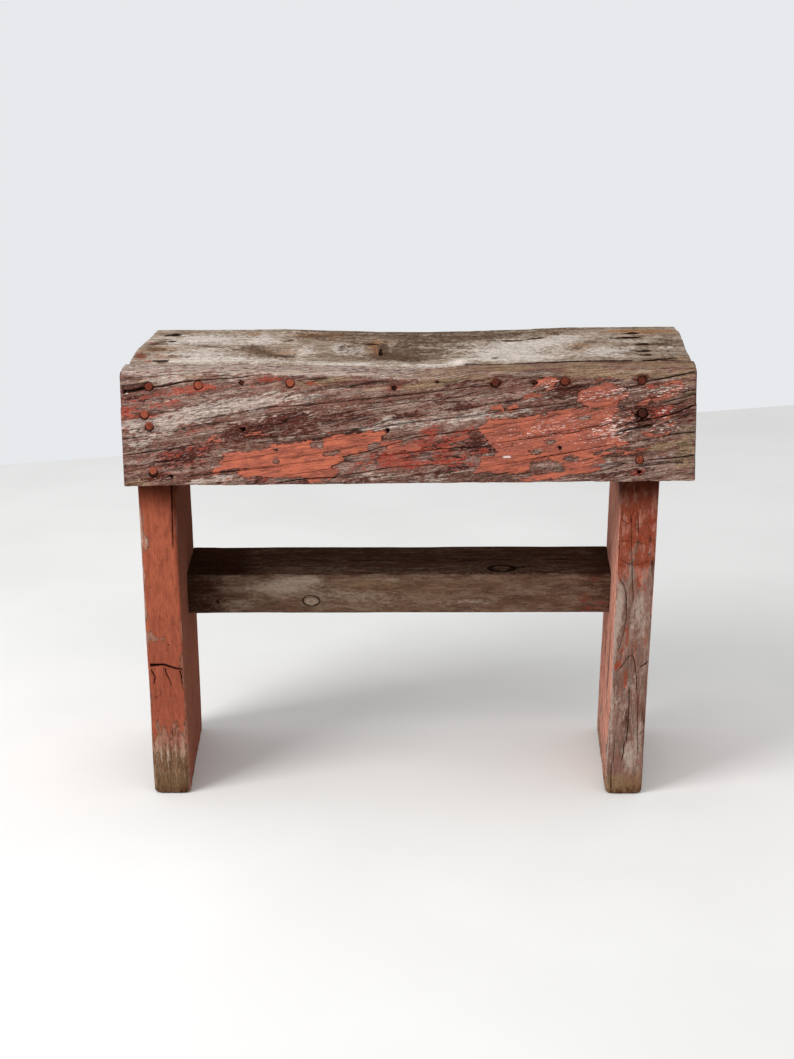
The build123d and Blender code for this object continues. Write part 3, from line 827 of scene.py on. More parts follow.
left_leg_cracks = [
    ([(-272, 140.5), (-263, 141), (-255, 141.5), (-248, 139), (-242, 137), (-231, 135)], (1.5, 0.5), 4.0),
    ([(-254, 138), (-252, 131), (-249, 124), (-247, 117)], (0.5, 0.25), 1.6),
    ([(-239, 137), (-237, 130), (-236, 118)], (0.7, 0.3), 1.8),
    ([(-268, 136), (-264, 128), (-266, 119)], (0.6, 0.3), 1.6),
    ([(-238.5, 342), (-239, 310), (-240, 262)], (1.0, 0.3), 1.8),
]
left_leg_pale = [
    (-271, 292, 3.4, 22, 1.0), (-267, 272, 4, 9, 1.0), (-271, 200, 2.6, 12, 1.0), (-270, 174, 5, 6, 1.0),
    (-266, 171, 6, 3.5, 1.0), (-258, 169, 8, 1.6, 1.0), (-236, 148, 2.4, 9, 1.0), (-235, 124, 3, 13, 1.0),
    (-271, 240, 2.4, 16, 0.9), (-271, 330, 2, 12, 0.7), (-249, 163, 2, 1.5, 0.7), (-266, 60, 3, 20, 0.8),
    (-258, 66, 2.5, 14, 0.7), (-246, 74, 3, 9, 0.6), (-238, 62, 2.5, 22, 0.8), (-250, 58, 3, 14, 0.5),
    (-234, 222, 1.5, 3, 0.8), (-269, 106, 2, 8, 0.6),
]
left_leg_dents = [(-266, 133, 6, 9, 0.9), (-238, 134, 5, 6, 0.9), (-268, 150, 4, 8, 0.7)]
# Dark spots on the left leg's front: the two long narrow ones by the inner arris near the top are painted shade;
# the last darkens the foot by that arris.
left_leg_grime = [(-237, 320, 3, 30, 0.8), (-236, 270, 2, 60, 0.5), (-235, 5, 10, 9, 0.6)]
right_leg_cracks = [
    ([(228, 302), (228.5, 290), (229, 278)], (0.15, 0.2), 1.2),
    ([(222, 300), (222, 276), (223, 240), (225, 205)], (0.1, 0.25), 1.4),
    ([(209, 234), (215, 226), (218, 212), (218, 190), (215, 172), (209, 150)], (0.3, 0.1), 1.0),
    ([(210, 134), (216, 142), (221, 150), (225, 151), (227, 144), (229, 128), (230, 108)], (0.25, 0.3), 1.0),
    ([(222, 118), (222, 95), (221, 72), (219, 50)], (0.3, 0.3), 1.6),
    ([(242, 144.5), (238, 142), (232, 138)], (0.5, 0.3), 1.4),
    ([(205, 36), (204.5, 20), (205, 3)], (0.2, 0.5), 2.0),
    ([(231, 108), (231, 80), (232, 40)], (0.2, 0.2), 1.2),
    ([(218, 60), (217, 46), (215, 36)], (0.3, 0.4), 1.2),
    ([(209, 297), (216, 291), (226, 288), (238, 292)], (0.12, 0.05), 0.5),
    ([(209, 273), (222, 271), (240, 268)], (0.08, 0.05), 0.5),
    ([(211, 253), (219, 248), (230, 247), (241, 252)], (0.12, 0.08), 0.5),
    ([(209, 282), (210, 265), (209, 250)], (0.1, 0.1), 0.5),
    ([(208, 60), (207, 44), (206, 30)], (0.2, 0.2), 0.9),
]
right_leg_bare = [[(203, 240), (208, 233), (214, 222), (219, 200), (216, 160), (208, 158), (202, 190)]]
right_leg_strips = [
    (219, 172, 2.5, 14, 0.9), (214, 152, 3.5, 12, 0.8), (209, 140, 3, 6, 1.0), (217.5, 127, 2, 9, 1.0),
    (228, 156, 2, 12, 0.7), (230, 232, 3, 16, 0.8), (236, 222, 3, 12, 0.6), (238, 165, 2, 18, 0.6),
    (232, 90, 1.6, 40, 0.5), (206, 224, 2, 16, 0.6), (214, 110, 8, 20, 0.3), (234, 262, 8, 16, 0.95),
    (229, 246, 6, 13, 0.8), (238, 244, 3, 14, 0.7),
]
# Dark bands across the right leg's front; the wide one at the top, right under the apron, is painted shade.
right_leg_bands = [
    (222, 292, 40, 3.5, 0.5), (222, 273, 40, 3, 0.4), (222, 248, 40, 4, 0.5), (222, 334, 40, 14, 0.7),
    (207, 262, 3, 18, 0.5), (219, 82, 5, 14, 0.6), (236, 80, 4, 20, 0.4), (241, 270, 3, 40, 0.5),
]
right_leg_pale = [
    (211, 205, 4, 24, 1.0), (207, 170, 3, 30, 0.8), (230, 190, 9, 30, 0.5), (222, 44, 6, 18, 0.9),
    (233, 62, 4, 26, 0.7), (212, 100, 8, 16, 0.5), (204, 120, 2, 90, 0.7), (227, 120, 8, 16, 0.4),
]


def make_leg(name, node, side, leg_set, heads, seed, finish, paint_front, worn_arris):
    """A plank leg. paint_front(skin, x, z, front) lays down its own paint and marks."""
    skin = Skin(
        cuts(0.0, leg_thickness, 1.25, 0.9, [0.0, leg_thickness], 3),
        cuts(apron_back, back_face, 2.2, 1.0, [apron_back, back_face] + [head[1] for head in heads], 4),
        cuts(0.0, leg_height, 2.2, 1.1, [0.0, 140.0] + [head[2] for head in heads], 5),
        leg_rounding(worn_arris),
    )
    thick, y, z = skin.points.T
    x = place_leg(skin.points, side, leg_set)[:, 0]
    ft, fy, fz = skin.facing.T
    front = step(-fy, 0.25, 0.75)
    inner = step(-ft, 0.4, 0.8)
    outer = step(ft, 0.4, 0.8)
    t = thick + 0.9 * (y - apron_back)
    grain = flowing(z, t, y - thick, seed, sway=3.0)
    weather(skin, grain, seed + 1, groove=0.3, swell=0.4, fibre_wide=2.6, check=0.4, taken=-0.45)
    skin.keep_ends(ACROSS_Z)
    patches = layered(grain / (120.0, 26.0, 60.0), 3, seed + 7)
    worn_line = 60 * (layered(together(y / 26, z / 90, thick / 30), 3, seed + 9) - 0.5)
    low_wear = step(z + worn_line, 96, 30)
    inner_cover = 0.2 if side < 0 else 0.95 - 0.4 * low_wear
    back = step(fy, 0.4, 0.8)
    for side_face, cover in ((inner, inner_cover), (outer, 0.9 - 0.9 * low_wear), (back, 0.75 - 0.9 * low_wear)):
        skin.mark("paint", side_face * np.clip(cover - 0.9 * step(patches, 0.6, 0.8), 0.0, 1.0))
    paint_front(skin, x, z, front)
    if side < 0:
        skin.mark("film", inner)
        # Painted shade: the left leg's inner face turns away from the main light, so it is darkened, more towards
        # the top.
        skin.mark("grime", inner * (0.05 + 0.57 * step(z, 90, 320)))
    else:
        skin.mark("pale", 0.7 * inner * step(z, 130, 50))
    # Painted shade under the apron: the top of each leg is darkened all round.
    skin.mark("grime", step(z, 298, 331))
    skin.mark("warm", 0.9 * step(z, 34, 8))
    skin.mark("stain", 0.5 * step(z, 16, 2) * (0.5 + 0.5 * front))
    skin.mark("end", step(np.abs(fz), 0.5, 0.9))
    # More painted shade, darkest right under the apron.
    skin.mark("stain", 0.55 * step(z, 325, 343))
    for head in heads:
        nail_recess(skin, z, y, (head[2], head[1]), 4.1, 1.4, outer)
    points = place_leg(skin.shaped(), side, leg_set)
    make_piece(name, points, skin.faces, finish, [node], skin.marks, grain)


def paint_left_front(skin, x, z, front):
    """Sound paint down to a ragged edge above the foot, chipped along the outer arris."""
    ragged = 70 + 40 * (layered(together(x / 4, z / 40, 0), 2, 71) - 0.5)
    level = np.clip(0.5 + (z - ragged) / 44, 0.0, 1.0)
    level = np.minimum(level, 1 - 0.85 * spots(x, z, left_leg_pale))
    skin.mark("paint", level * front)
    skin.mark("film", 0.8 * step(z, 30, 60) * front)
    streaks = layered(together(x / 2.4, z / 46, 0), 3, 75)
    band = 1.5 * step(streaks, 0.35, 0.7) * step(z, 22, 50) * step(z, 84, 50)
    skin.mark("pale", np.maximum(spots(x, z, left_leg_pale), 0.5 * band) * front)
    open_cracks(skin, x, z, left_leg_cracks, front)
    skin.mark("stain", 0.8 * step(z, 210, 140) * step(z, 70, 100) * front)
    # Its dark spots include painted shade along the inner arris.
    skin.mark_spots(front, x, z, grime=left_leg_grime, stain=left_leg_dents)
    skin.sink(0.8 * spots(x, z, left_leg_dents) * front)


def paint_right_front(skin, x, z, front):
    """Dark paint on the upper part only, run down in tongues, over long checks and a flame of grain."""
    tongues = 240 + 64 * (layered(together(x / 6, z / 60, 0), 2, 73) - 0.5) + 0.15 * (x - 222)
    upper = np.clip(0.5 + (z - tongues) / 50, 0.0, 0.95)
    bare = painted(right_leg_bare, x, z, 3.0)
    skin.mark("film", np.minimum(1.2 * upper, 1.3 - 1.3 * bare) * front)
    skin.mark_spots(front, x, z, film=right_leg_strips, stain=right_leg_bands, pale=right_leg_pale)
    open_cracks(skin, x, z, right_leg_cracks, front)


# ------------------------------------------------------------------------------------------
# the stretcher
# ------------------------------------------------------------------------------------------
front_knot = (-111.0, 182.0, 9.0, 5.6)
top_knot = (93.0, 31.0, 13.0, 11.5)
off_face = 1e4                   # a place across the grain, in mm, that no knot reaches
stretcher_cracks = [
    ([(105, 33), (116, 36), (134, 42)], (2.6, 0.6), 1.8),
    ([(50, 60), (58, 62), (70, 64)], (2.6, 1.2), 1.4),
    ([(-170, 57), (-60, 62), (60, 63), (190, 66)], (0.9, 0.5), 0.8),
]
stretcher_pale = [
    (-145, 197, 34, 9, 1.0), (-118, 205, 22, 6, 0.9), (-60, 188, 60, 8, 0.4), (-190, 178, 26, 6, 0.5),
    (60, 181, 26, 3, 0.6), (-25, 205, 14, 3, 0.7),
]
stretcher_warm = [(-40, 200, 60, 9, 0.5), (20, 193, 60, 10, 0.45), (100, 204, 60, 6, 0.4)]
stretcher_film = [
    (190, 205, 13, 4, 0.6), (182, 184, 11, 9, 0.62), (200, 178, 10, 10, 0.5), (96, 172, 40, 3, 0.3),
    (-219, 205, 14, 5, 0.4), (182, 172, 14, 4, 0.5),
]


def stretcher_rounding(flat):
    """Long edges eased by wear, ends cut square to meet the legs."""
    x, y, z = flat.T
    uneven = layered(together(x / 30, 0, 0), 3, 82)
    long_edge = 1.2 + 1.6 * uneven
    return together(0.6, long_edge, long_edge)


def make_stretcher(finish):
    """The board laid flat between the legs, its two ends following the faces they meet."""
    low, high = stretcher_low, stretcher_high
    skin = Skin(
        cuts(low[0], high[0], 2.0, 1.1, [front_knot[0], low[0], high[0]], 12),
        cuts(low[1], high[1], 1.7, 0.9, [low[1], high[1]], 4),
        cuts(low[2], high[2], 1.0, 0.8, [low[2], high[2]], 4),
        stretcher_rounding,
    )
    x, y, z = skin.points.T
    _, fy, fz = skin.facing.T
    front = step(-fy, 0.3, 0.8)
    top = step(fz, 0.3, 0.8)
    t = z + 0.9 * (y - low[1])
    grain = flowing(x, t, y - z, 83, sway=2.6)
    round_knot(skin, grain, x, np.where(front > 0.5, z, off_face), front_knot, "pale")
    round_knot(skin, grain, x, np.where(top > 0.5, y, off_face), top_knot, "stain", 0.22)
    weather(skin, grain, 84, groove=0.3, swell=0.4, fibre_wide=2.4, check=0.5, taken=-1.1)
    open_cracks(skin, x, y, stretcher_cracks, top)
    hole(skin, x, z, (-213, 181), 1.6, 3.0, front)
    # Painted shade with some real dirt: the top, under the seat, is darkened all over, and more towards the back
    # and near both legs; the ends by the legs are darkened on the front too.
    near_left = step(x, -190, -226)
    skin.mark("stain", np.maximum.reduce([0.45 * top, 0.8 * near_left * front, 0.5 * step(x, 150, 215) * front]))
    dark_top = np.maximum.reduce([0.12 + 0.5 * step(y, 30, 70), step(x, -150, -195), 0.8 * step(x, 150, 205)])
    skin.mark("grime", np.maximum(dark_top * top, 0.4 * near_left))
    skin.mark_spots(front, x, z, pale=stretcher_pale, warm=stretcher_warm, film=stretcher_film)
    points = skin.shaped()
    middle = (low[0] + high[0]) / 2
    left_face = place_leg(together(0, y, z), -1, left_leg_set)[:, 0]
    right_face = place_leg(together(0, y, z), 1, right_leg_set)[:, 0]
    left_reach = (middle - left_face) / (middle - low[0])
    right_reach = (right_face - middle) / (high[0] - middle)
    reach = np.where(points[:, 0] < middle, left_reach, right_reach)
    points[:, 0] = middle + (points[:, 0] - middle) * reach
    make_piece("weathered_stretcher", points, skin.faces, finish, ["stretcher"],
               skin.marks, grain)


# ------------------------------------------------------------------------------------------
# nails
# ------------------------------------------------------------------------------------------
nail_length, nail_point = 89.0, 7.0
head_radius, head_thickness = 4.0, 1.3
shank_radius = 1.9
# Tones of nails without paint: rusted off short, and handled until brown.
stub_tone, handled_tone = -0.2, -1.0

# Radius and depth below the top of the nail, from the middle of its top to its point.
head_profile = [
    (0.0, 0.10), (1.2, 0.05), (2.4, 0.0), (3.2, 0.06), (3.7, 0.22), (head_radius, 0.55), (3.95, 1.0),
    (3.6, head_thickness), (2.2, 1.32), (shank_radius, 1.7), (shank_radius, 30.0),
    (shank_radius, nail_length - nail_point), (0.5, nail_length - 0.2), (0.0, nail_length),
]
stub_profile = [
    (0.0, 0.5), (0.7, 0.35), (1.3, 0.1), (1.7, 0.15), (shank_radius, 0.5), (shank_radius, 1.2),
    (shank_radius, 30.0), (shank_radius, nail_length - nail_point), (0.5, nail_length - 0.2), (0.0, nail_length),
]


def turned_nail(profile, seed, sides=26):
    """A nail along -Z from the origin: its profile turned about Z, hammered out of round.

    A point at angle a on ring i is (r cos a, r sin a, -depth), where r is that ring's radius times
    one plus slow noise of a, less near the point. The first and the last ring are single points.
    """
    radius, depth = np.array(profile, float).T
    angle = np.linspace(0, 2 * math.pi, sides, endpoint=False)
    ring = np.stack([np.cos(angle), np.sin(angle)], 1)
    wobble = 0.16 * (noise(np.column_stack([1.1 * ring + 5, np.full(sides, 0.5)]), seed) - 0.6)
    dents = 0.25 * (noise(np.column_stack([2.0 * ring + 9, np.full(sides, 0.5)]), seed + 1) - 0.5)
    rows = []
    for r, d in zip(radius[1:-1], depth[1:-1]):
        head_part = 1.0 if d < 1.5 else 0.0
        out = r * (1 + wobble * head_part)
        low = -d - np.abs(dents) * head_part * (r / head_radius)
        rows.append(np.column_stack([ring[:, 0] * out, ring[:, 1] * out, np.broadcast_to(low, sides)]))
    points = np.concatenate([[[0.0, 0.0, -depth[0]]], *rows, [[0.0, 0.0, -depth[-1]]]])
    first = 1 + np.arange(sides)
    after = 1 + (np.arange(sides) + 1) % sides
    triangles = [np.stack([np.zeros(sides, int), first, after], 1)]
    for row in range(len(rows) - 1):
        a, b = first + row * sides, after + row * sides
        triangles.append(np.stack([a, a + sides, b + sides], 1))
        triangles.append(np.stack([a, b + sides, b], 1))
    last = (len(rows) - 1) * sides
    triangles.append(np.stack([first + last, np.full(sides, len(points) - 1), after + last], 1))
    return points, np.concatenate(triangles)


def along_axis(points, axis, outward):
    """Turns points made along -Z so that they run in from a face whose outside is +/- axis."""
    x, y, z = points.T
    if axis == ACROSS_Z:
        return points
    if axis == ACROSS_Y:
        return together(x, outward * z, -outward * y)
    return together(outward * z, y, -outward * x)


# Paint kept by the heads in the apron: (x, z, level).
head_paint = [
    (-251, 440, 0.2), (-202.5, 441, 0.55), (-113, 443, 0.6), (86, 442.5, 0.0), (153, 443, 0.2), (227, 443, 0.0),
    (-256.5, 412.5, 0.6), (-252.5, 401, 0.42), (-250.5, 356, 0.6), (228, 411, -0.4), (226, 364.5, 0.45),
]


def kept_paint(place):
    """How much paint a nail's head has kept: the level of the place nearest to it."""
    x, y, z = place
    if y > apron_back:
        return 0.0
    return min(head_paint, key=lambda head: abs(head[0] - x) + abs(head[1] - z))[2]


def make_nails(name, node, axis, outward, headed, lift, finish):
    """One mesh for a group of nails, each hammered to its own shape."""
    all_points, all_faces, tones, used = [], [], [], 0
    for number, place in enumerate(nails_in(node, axis, outward)):
        points, faces = turned_nail(head_profile if headed else stub_profile, 300 + 7 * number + len(node))
        points = along_axis(points, axis, outward) + place
        points[:, axis] += outward * lift
        all_points.append(points)
        all_faces.append(faces + used)
        tones.append(np.full(len(points), kept_paint(place) if headed else stub_tone))
        used += len(points)
    marks = {"tone": np.concatenate(tones)}
    make_piece(name, np.concatenate(all_points), np.concatenate(all_faces), finish, [node], marks)


def make_bent_nail(finish):
    """A square cut nail: a tapering bar whose part above the seat leans over to the left.

    A point at height h above the bend turns about it by the lean, taken up over one millimetre.
    """
    side, lean, foot = 4.4, math.radians(16.0), 30.0
    bend = seat_height + 1.5
    top = bend + 4.5
    xs = np.linspace(-side / 2, side / 2, 7)
    zs = cuts(seat_height - foot, top, 3.0, 0.45, [bend, top], 4)
    skin = Skin(xs, xs, zs, lambda flat: np.full((len(flat), 3), 0.45))
    rough = layered(skin.points / 2.2, 2, 401)
    skin.sink(0.28 * rough)
    x, y, z = skin.shaped().T
    over = np.clip(z - bend, 0.0, None)
    turn = lean * step(z, bend - 0.8, bend + 0.8)
    points = together(x * np.cos(turn) - over * np.sin(turn) + bent_nail_x, y + bent_nail_y,
                      np.minimum(z, bend) + over * np.cos(turn) + x * np.sin(turn))
    points[:, 2] = np.minimum(points[:, 2], bent_nail_high[2] - box_margin)
    points[:, 0] = np.clip(points[:, 0], bent_nail_low[0], bent_nail_high[0])
    marks = {"tone": np.full(len(points), handled_tone)}
    make_piece("bent_cut_nail", points, skin.faces, finish, ["bent_seat_nail"], marks)


# ------------------------------------------------------------------------------------------
# finishes
# ------------------------------------------------------------------------------------------
def daylight(red, green, blue):
    """A colour as screens write it, 0 to 255, as the linear values that shaders take."""
    part = np.array([red, green, blue]) / 255
    linear = np.where(part <= 0.04045, part / 12.92, ((part + 0.055) / 1.055) ** 2.4)
    return (*linear.tolist(), 1.0)


class Socket:
    """An output of a node. Arithmetic on it adds Math nodes to its material."""

    def __init__(self, finish, output):
        self.finish = finish
        self.output = output

    def __add__(self, other):
        return self.finish.maths("ADD", self, other)

    def __radd__(self, other):
        return self.finish.maths("ADD", other, self)

    def __sub__(self, other):
        return self.finish.maths("SUBTRACT", self, other)

    def __rsub__(self, other):
        return self.finish.maths("SUBTRACT", other, self)

    def __mul__(self, other):
        return self.finish.maths("MULTIPLY", self, other)

    def __rmul__(self, other):
        return self.finish.maths("MULTIPLY", other, self)

    def __abs__(self):
        return self.finish.maths("ABSOLUTE", self, 0.0)

    def step(self, low, high):
        """0 below low, 1 above high, and an even S between them."""
        return self.finish.node(
            "ShaderNodeMapRange",
            {"interpolation_type": "SMOOTHSTEP"},
            {"Value": self, "From Min": low, "From Max": high},
        )


class Finish:
    """A material while its nodes are put together."""

    def __init__(self, name):
        self.material = bpy.data.materials.new(name)
        self.material.use_nodes = True
        self.tree = self.material.node_tree
        self.tree.nodes.clear()

    def node(self, kind, settings=None, inputs=None, output=0):
        """Adds a node. Its settings come first, then values or links for its sockets."""
        made = self.tree.nodes.new(kind)
        for key, value in (settings or {}).items():
            setattr(made, key, value)
        for key, value in (inputs or {}).items():
            socket = made.inputs[key] if isinstance(key, int) else self.find(made.inputs, key)
            if isinstance(value, Socket):
                self.tree.links.new(value.output, socket)
            else:
                socket.default_value = value
        out = made.outputs[output] if isinstance(output, int) else self.find(made.outputs, output)
        return Socket(self, out)

    @staticmethod
    def find(sockets, key):
        """The socket with this identifier, or else with this name."""
        return next((s for s in sockets if s.identifier == key), None) or sockets[key]

    def maths(self, operation, a, b):
        """One Math node."""
        return self.node("ShaderNodeMath", {"operation": operation}, {0: a, 1: b})

    def mix(self, a, b, share):
        """One colour over another."""
        return self.node(
            "ShaderNodeMix",
            {"data_type": "RGBA"},
            {"Factor_Float": share, "A_Color": a, "B_Color": b},
            "Result_Color",
        )

    def scaled(self, colour, amount):
        """A colour made lighter or darker, and never below a fifth of itself."""
        held = self.maths("MAXIMUM", amount, 0.2)
        return self.node("ShaderNodeVectorMath", {"operation": "SCALE"}, {0: colour, "Scale": held}, "Vector")

    def mark(self, name):
        """One of the marks that the mesh carries."""
        return self.node("ShaderNodeAttribute", {"attribute_name": name}, {}, "Fac")

    def stretched(self, place, sizes):
        """A place divided by three sizes."""
        inverse = tuple(1 / size for size in sizes)
        return self.node("ShaderNodeVectorMath", {"operation": "MULTIPLY"}, {0: place, 1: inverse}, "Vector")

    def flakes(self, place, sizes):
        """One random value, -0.5 to 0.5, for each square-cornered cell of about these sizes, in mm."""
        cell = self.node(
            "ShaderNodeTexVoronoi",
            {"feature": "F1", "distance": "CHEBYCHEV"},
            {"Vector": self.stretched(place, sizes), "Scale": 1.0},
            "Color",
        )
        return cell - 0.5

    def noise(self, place, sizes, detail=2.0, rough=0.55):
        """Noise drawn out to these sizes, in mm."""
        return self.node(
            "ShaderNodeTexNoise",
            {},
            {"Vector": self.stretched(place, sizes), "Scale": 1.0, "Detail": detail, "Roughness": rough},
            "Fac",
        )

    def surface(self, colour, roughness, height, specular=0.0):
        """Ends the material: colour, roughness, and a height in mm that bends the light."""
        bump = self.node("ShaderNodeBump", {}, {"Strength": 1.0, "Distance": MM, "Height": height}, "Normal")
        shader = self.node(
            "ShaderNodeBsdfPrincipled",
            {},
            {"Base Color": colour, "Roughness": roughness, "Normal": bump, "Specular IOR Level": specular},
        )
        self.end(shader)
        return self.material

    def end(self, shader):
        """Links the shader to the material's output."""
        output = self.tree.nodes.new("ShaderNodeOutputMaterial")
        self.tree.links.new(shader.output, output.inputs["Surface"])


# Near-black for cracks, pits and hair lines, also used for painted shadows: the wedge beside the bent nail and the
# line at paint edges.
near_black = daylight(26, 14, 10)
rust_brown = daylight(96, 44, 26)
chalk = daylight(232, 214, 205)


def wood_finish(name, deep, middle, light, blush, paint, old_paint, film, stain, pale, warm,
                contrast=1.0, along=1.0, across=1.0, lines=1.0, calm=0.0, soft=0.2, salt=1.0):
    """Weathered wood with what is left of its paint. Sizes are in mm along, across and through the grain.

    deep to warm: colours as screens write them, each (red, green, blue) from 0 to 255.
    contrast: how much the fine grain stands out. along, across: how far the pattern is drawn out
    each way. lines: how dark the hair checks are. calm: how smooth the paint lies. soft: how
    softly one area runs into the next. salt: how much it glints with light broken fibres.
    """
    deep, middle, light, blush, paint, old_paint, film, stain, pale, warm = (
        daylight(*colour) for colour in (deep, middle, light, blush, paint, old_paint, film, stain, pale, warm))
    finish = Finish(name)
    grain = finish.node("ShaderNodeAttribute", {"attribute_name": "grain"}, {}, "Vector")
    marks = {mark: finish.mark(mark) for mark in MARKS}

    def pattern(size_along, size_across, through, detail=2.0, rough=0.55):
        return finish.noise(grain, (size_along * along, size_across * across, through), detail, rough)

    def area(mark, breakup):
        """How much of a marked area shows: its level plus a pattern, so that it breaks up at its edge."""
        return (marks[mark] + breakup).step(0.5 - soft, 0.5 + soft) * marks[mark].step(0.0, 0.2)

    broad = pattern(90, 9, 30)
    streak = pattern(20, 1.6, 10, 3.0, 0.6)
    fibre = pattern(7, 0.9, 5)
    grit = pattern(2.2, 1.1, 2.2, 2.0, 0.6)
    blotch = pattern(22, 6, 12, 3.0, 0.6)
    speck = pattern(6.5, 2.2, 5)
    dash = pattern(5.5, 0.9, 4)
    vein = pattern(48, 3.6, 16, 1.0)
    cloud = finish.noise(grain, (17, 10, 10), 3.0, 0.6)

    mottle = ((speck - 0.5) * 1.8 + (blotch - 0.5) * 1.4) * (1 - 0.6 * calm)
    wood = finish.mix(middle, light, (broad * 0.5 + blotch * 0.5).step(0.42, 0.6))
    wood = finish.mix(wood, deep, (broad * 0.45 + streak * 0.55).step(0.52, 0.38) * 0.7)
    wood = finish.mix(wood, blush, (blotch * 0.5 + speck * 0.5).step(0.54, 0.44) * 0.5)
    wood = finish.mix(wood, pale, area("pale", mottle) * 0.85)
    wood = finish.mix(wood, warm, area("warm", (blotch - 0.5) * 2.0 + (broad - 0.5) * 1.0) * 0.75)
    wood = finish.mix(wood, stain, area("stain", mottle * -1.0) * 0.85)
    wood = finish.mix(wood, rust_brown, marks["rust"] * (0.35 + 0.6 * grit))

    relief = (streak - 0.5) * 1.0 + (fibre - 0.5) * 1.5 + (grit - 0.5) * 1.9
    wood = finish.scaled(wood, 1 + contrast * (relief - 0.16 * marks["valley"]))
    wood = finish.mix(wood, near_black, dash.step(0.40, 0.33) * (0.36 * contrast))
    wood = finish.mix(wood, chalk, dash.step(0.61, 0.70) * (0.26 * contrast * salt))
    check = (marks["gate"] * 0.022 - abs(marks["vein"] - 0.5)).step(-0.010, 0.006)
    hair = (blotch.step(0.42, 0.62) * 0.036 - abs(vein - 0.5)).step(-0.009, 0.007)
    dark_line = finish.maths("MAXIMUM", check * (0.75 * lines), hair * (0.5 * lines))
    wood = finish.mix(wood, near_black, dark_line)
    lint = (grit * 0.7 + fibre * 0.3).step(0.57, 0.68)
    wood = finish.mix(wood, chalk, lint * (0.2 * salt))

    ragged = (streak * 0.5 + dash * 0.5 - 0.5) * (0.4 + 2.2 * marks["fleck"])
    blocky = finish.flakes(grain, (18, 4.4, 9)) * 0.7 + finish.flakes(grain, (6, 2.0, 4)) * 0.3
    edge = blocky * (1 - 0.6 * marks["fleck"]) + ragged
    broken = (speck - 0.5) * 2.4 + (streak - 0.5) * 1.2 + (fibre - 0.5) * 0.8
    film_level = marks["film"] * 0.9 + broken * (1 - 0.6 * calm)
    thin = film_level.step(0.42 - 0.14 * calm, 0.68 + 0.24 * calm) * marks["film"].step(0.02, 0.25)
    film_colour = finish.mix(film, paint, blotch.step(0.5, 0.64) * 0.45)
    film_colour = finish.mix(film_colour, old_paint, grit.step(0.42, 0.6) * (0.7 - 0.6 * calm))
    film_colour = finish.scaled(film_colour, 1 + 0.6 * relief)
    colour = finish.mix(wood, film_colour, thin * 0.88)

    level = marks["paint"] + edge - marks["edge"] * (blotch * 1.4 - 0.2)
    cover = level.step(0.48, 0.52)
    # rim: a dark line just outside the paint's edge, partly dirt and partly a painted shadow of the raised edge.
    rim = (1 - abs(level - 0.44).step(0.0, 0.07)) * marks["paint"].step(0.1, 0.3)
    crazing = finish.node(
        "ShaderNodeTexVoronoi",
        {"feature": "DISTANCE_TO_EDGE"},
        {"Vector": finish.stretched(grain, (14, 4.8, 9)), "Scale": 1.0},
        "Distance",
    )
    crazed = (1 - crazing.step(0.0, 0.03)) * blotch.step(0.46, 0.56)
    worn_coat = cloud * (0.25 + 0.5 * calm) + blotch * (0.55 - 0.5 * calm) + grit * 0.2
    dulled = (worn_coat + marks["stain"] * 0.16 + marks["fleck"] * 0.07).step(0.43, 0.62)
    coat = finish.mix(paint, old_paint, dulled * (0.75 - 0.4 * calm))
    coat = finish.scaled(coat, 1 + (0.5 - 0.32 * calm) * relief)
    coat = finish.mix(coat, near_black, crazed * 0.4 + dark_line * 0.5)
    coat = finish.mix(coat, chalk, lint * marks["fleck"] * 0.5)
    colour = finish.mix(colour, near_black, rim * 0.6)
    colour = finish.mix(colour, coat, cover)
    chip = marks["fleck"].step(0.95, 1.0) * 0.16
    glint = dash * 0.75 + grit * 0.25 + marks["fleck"] * 0.16 + chip
    white = glint.step(0.66, 0.72) * marks["fleck"].step(0.05, 0.3)
    colour = finish.mix(colour, chalk, white * 0.85)

    colour = finish.mix(colour, pale, marks["edge"] * blotch.step(0.5, 0.62) * 0.4)
    # Grime darkens paint and wood alike: dirt in places, and painted shade in others.
    colour = finish.mix(colour, finish.scaled(stain[:3], 1 + 0.9 * relief), marks["grime"] * 0.88)
    gap = (marks["half"] + (grit - 0.5) * 0.9 - abs(marks["side"])).step(-0.3, 0.12)
    pit = (marks["pit"] + (grit - 0.5) * 0.14).step(0.42, 0.54)
    colour = finish.mix(colour, deep, marks["end"] * (0.3 + 0.4 * streak))
    colour = finish.mix(colour, near_black, finish.maths("MAXIMUM", gap * 0.92, pit * 0.88))

    roughness = 0.92 - 0.12 * cover
    fibres = streak * 0.4 + fibre * 0.3 + grit * 0.25 - dark_line * 0.4
    height = fibres + cover * 0.3 - crazed * cover * 0.15 - gap * 0.5
    return finish.surface(colour, roughness, height)


def nail_finish(name, bare, rusted, painted_over):
    """Iron that has rusted in layers.

    A nail's own tone says how much paint its head has kept. Towards -1 it is bare, handled and brown.
    """
    finish = Finish(name)
    place = finish.node("ShaderNodeTexCoord", {}, {}, "Object")
    in_mm = finish.stretched(place, (MM, MM, MM))
    scale = finish.noise(in_mm, (1.7, 1.7, 1.7), 3.0, 0.65)
    fine = finish.noise(in_mm, (0.5, 0.5, 0.5), 2.0)
    tone = finish.mark("tone")
    colour = finish.mix(bare, rusted, (scale + tone * 0.5).step(0.4, 0.62))
    colour = finish.mix(colour, painted_over, (tone + (scale - 0.5) * 1.2).step(0.38, 0.6) * 0.9)
    handled = finish.mix(daylight(92, 58, 43), daylight(158, 115, 90), scale.step(0.35, 0.6))
    colour = finish.mix(colour, handled, (0 - tone).step(0.5, 0.9))
    colour = finish.mix(colour, near_black, fine.step(0.58, 0.75) * 0.5)
    return finish.surface(colour, 0.66 + 0.25 * scale, scale * 0.4 + fine * 0.15, specular=0.1)


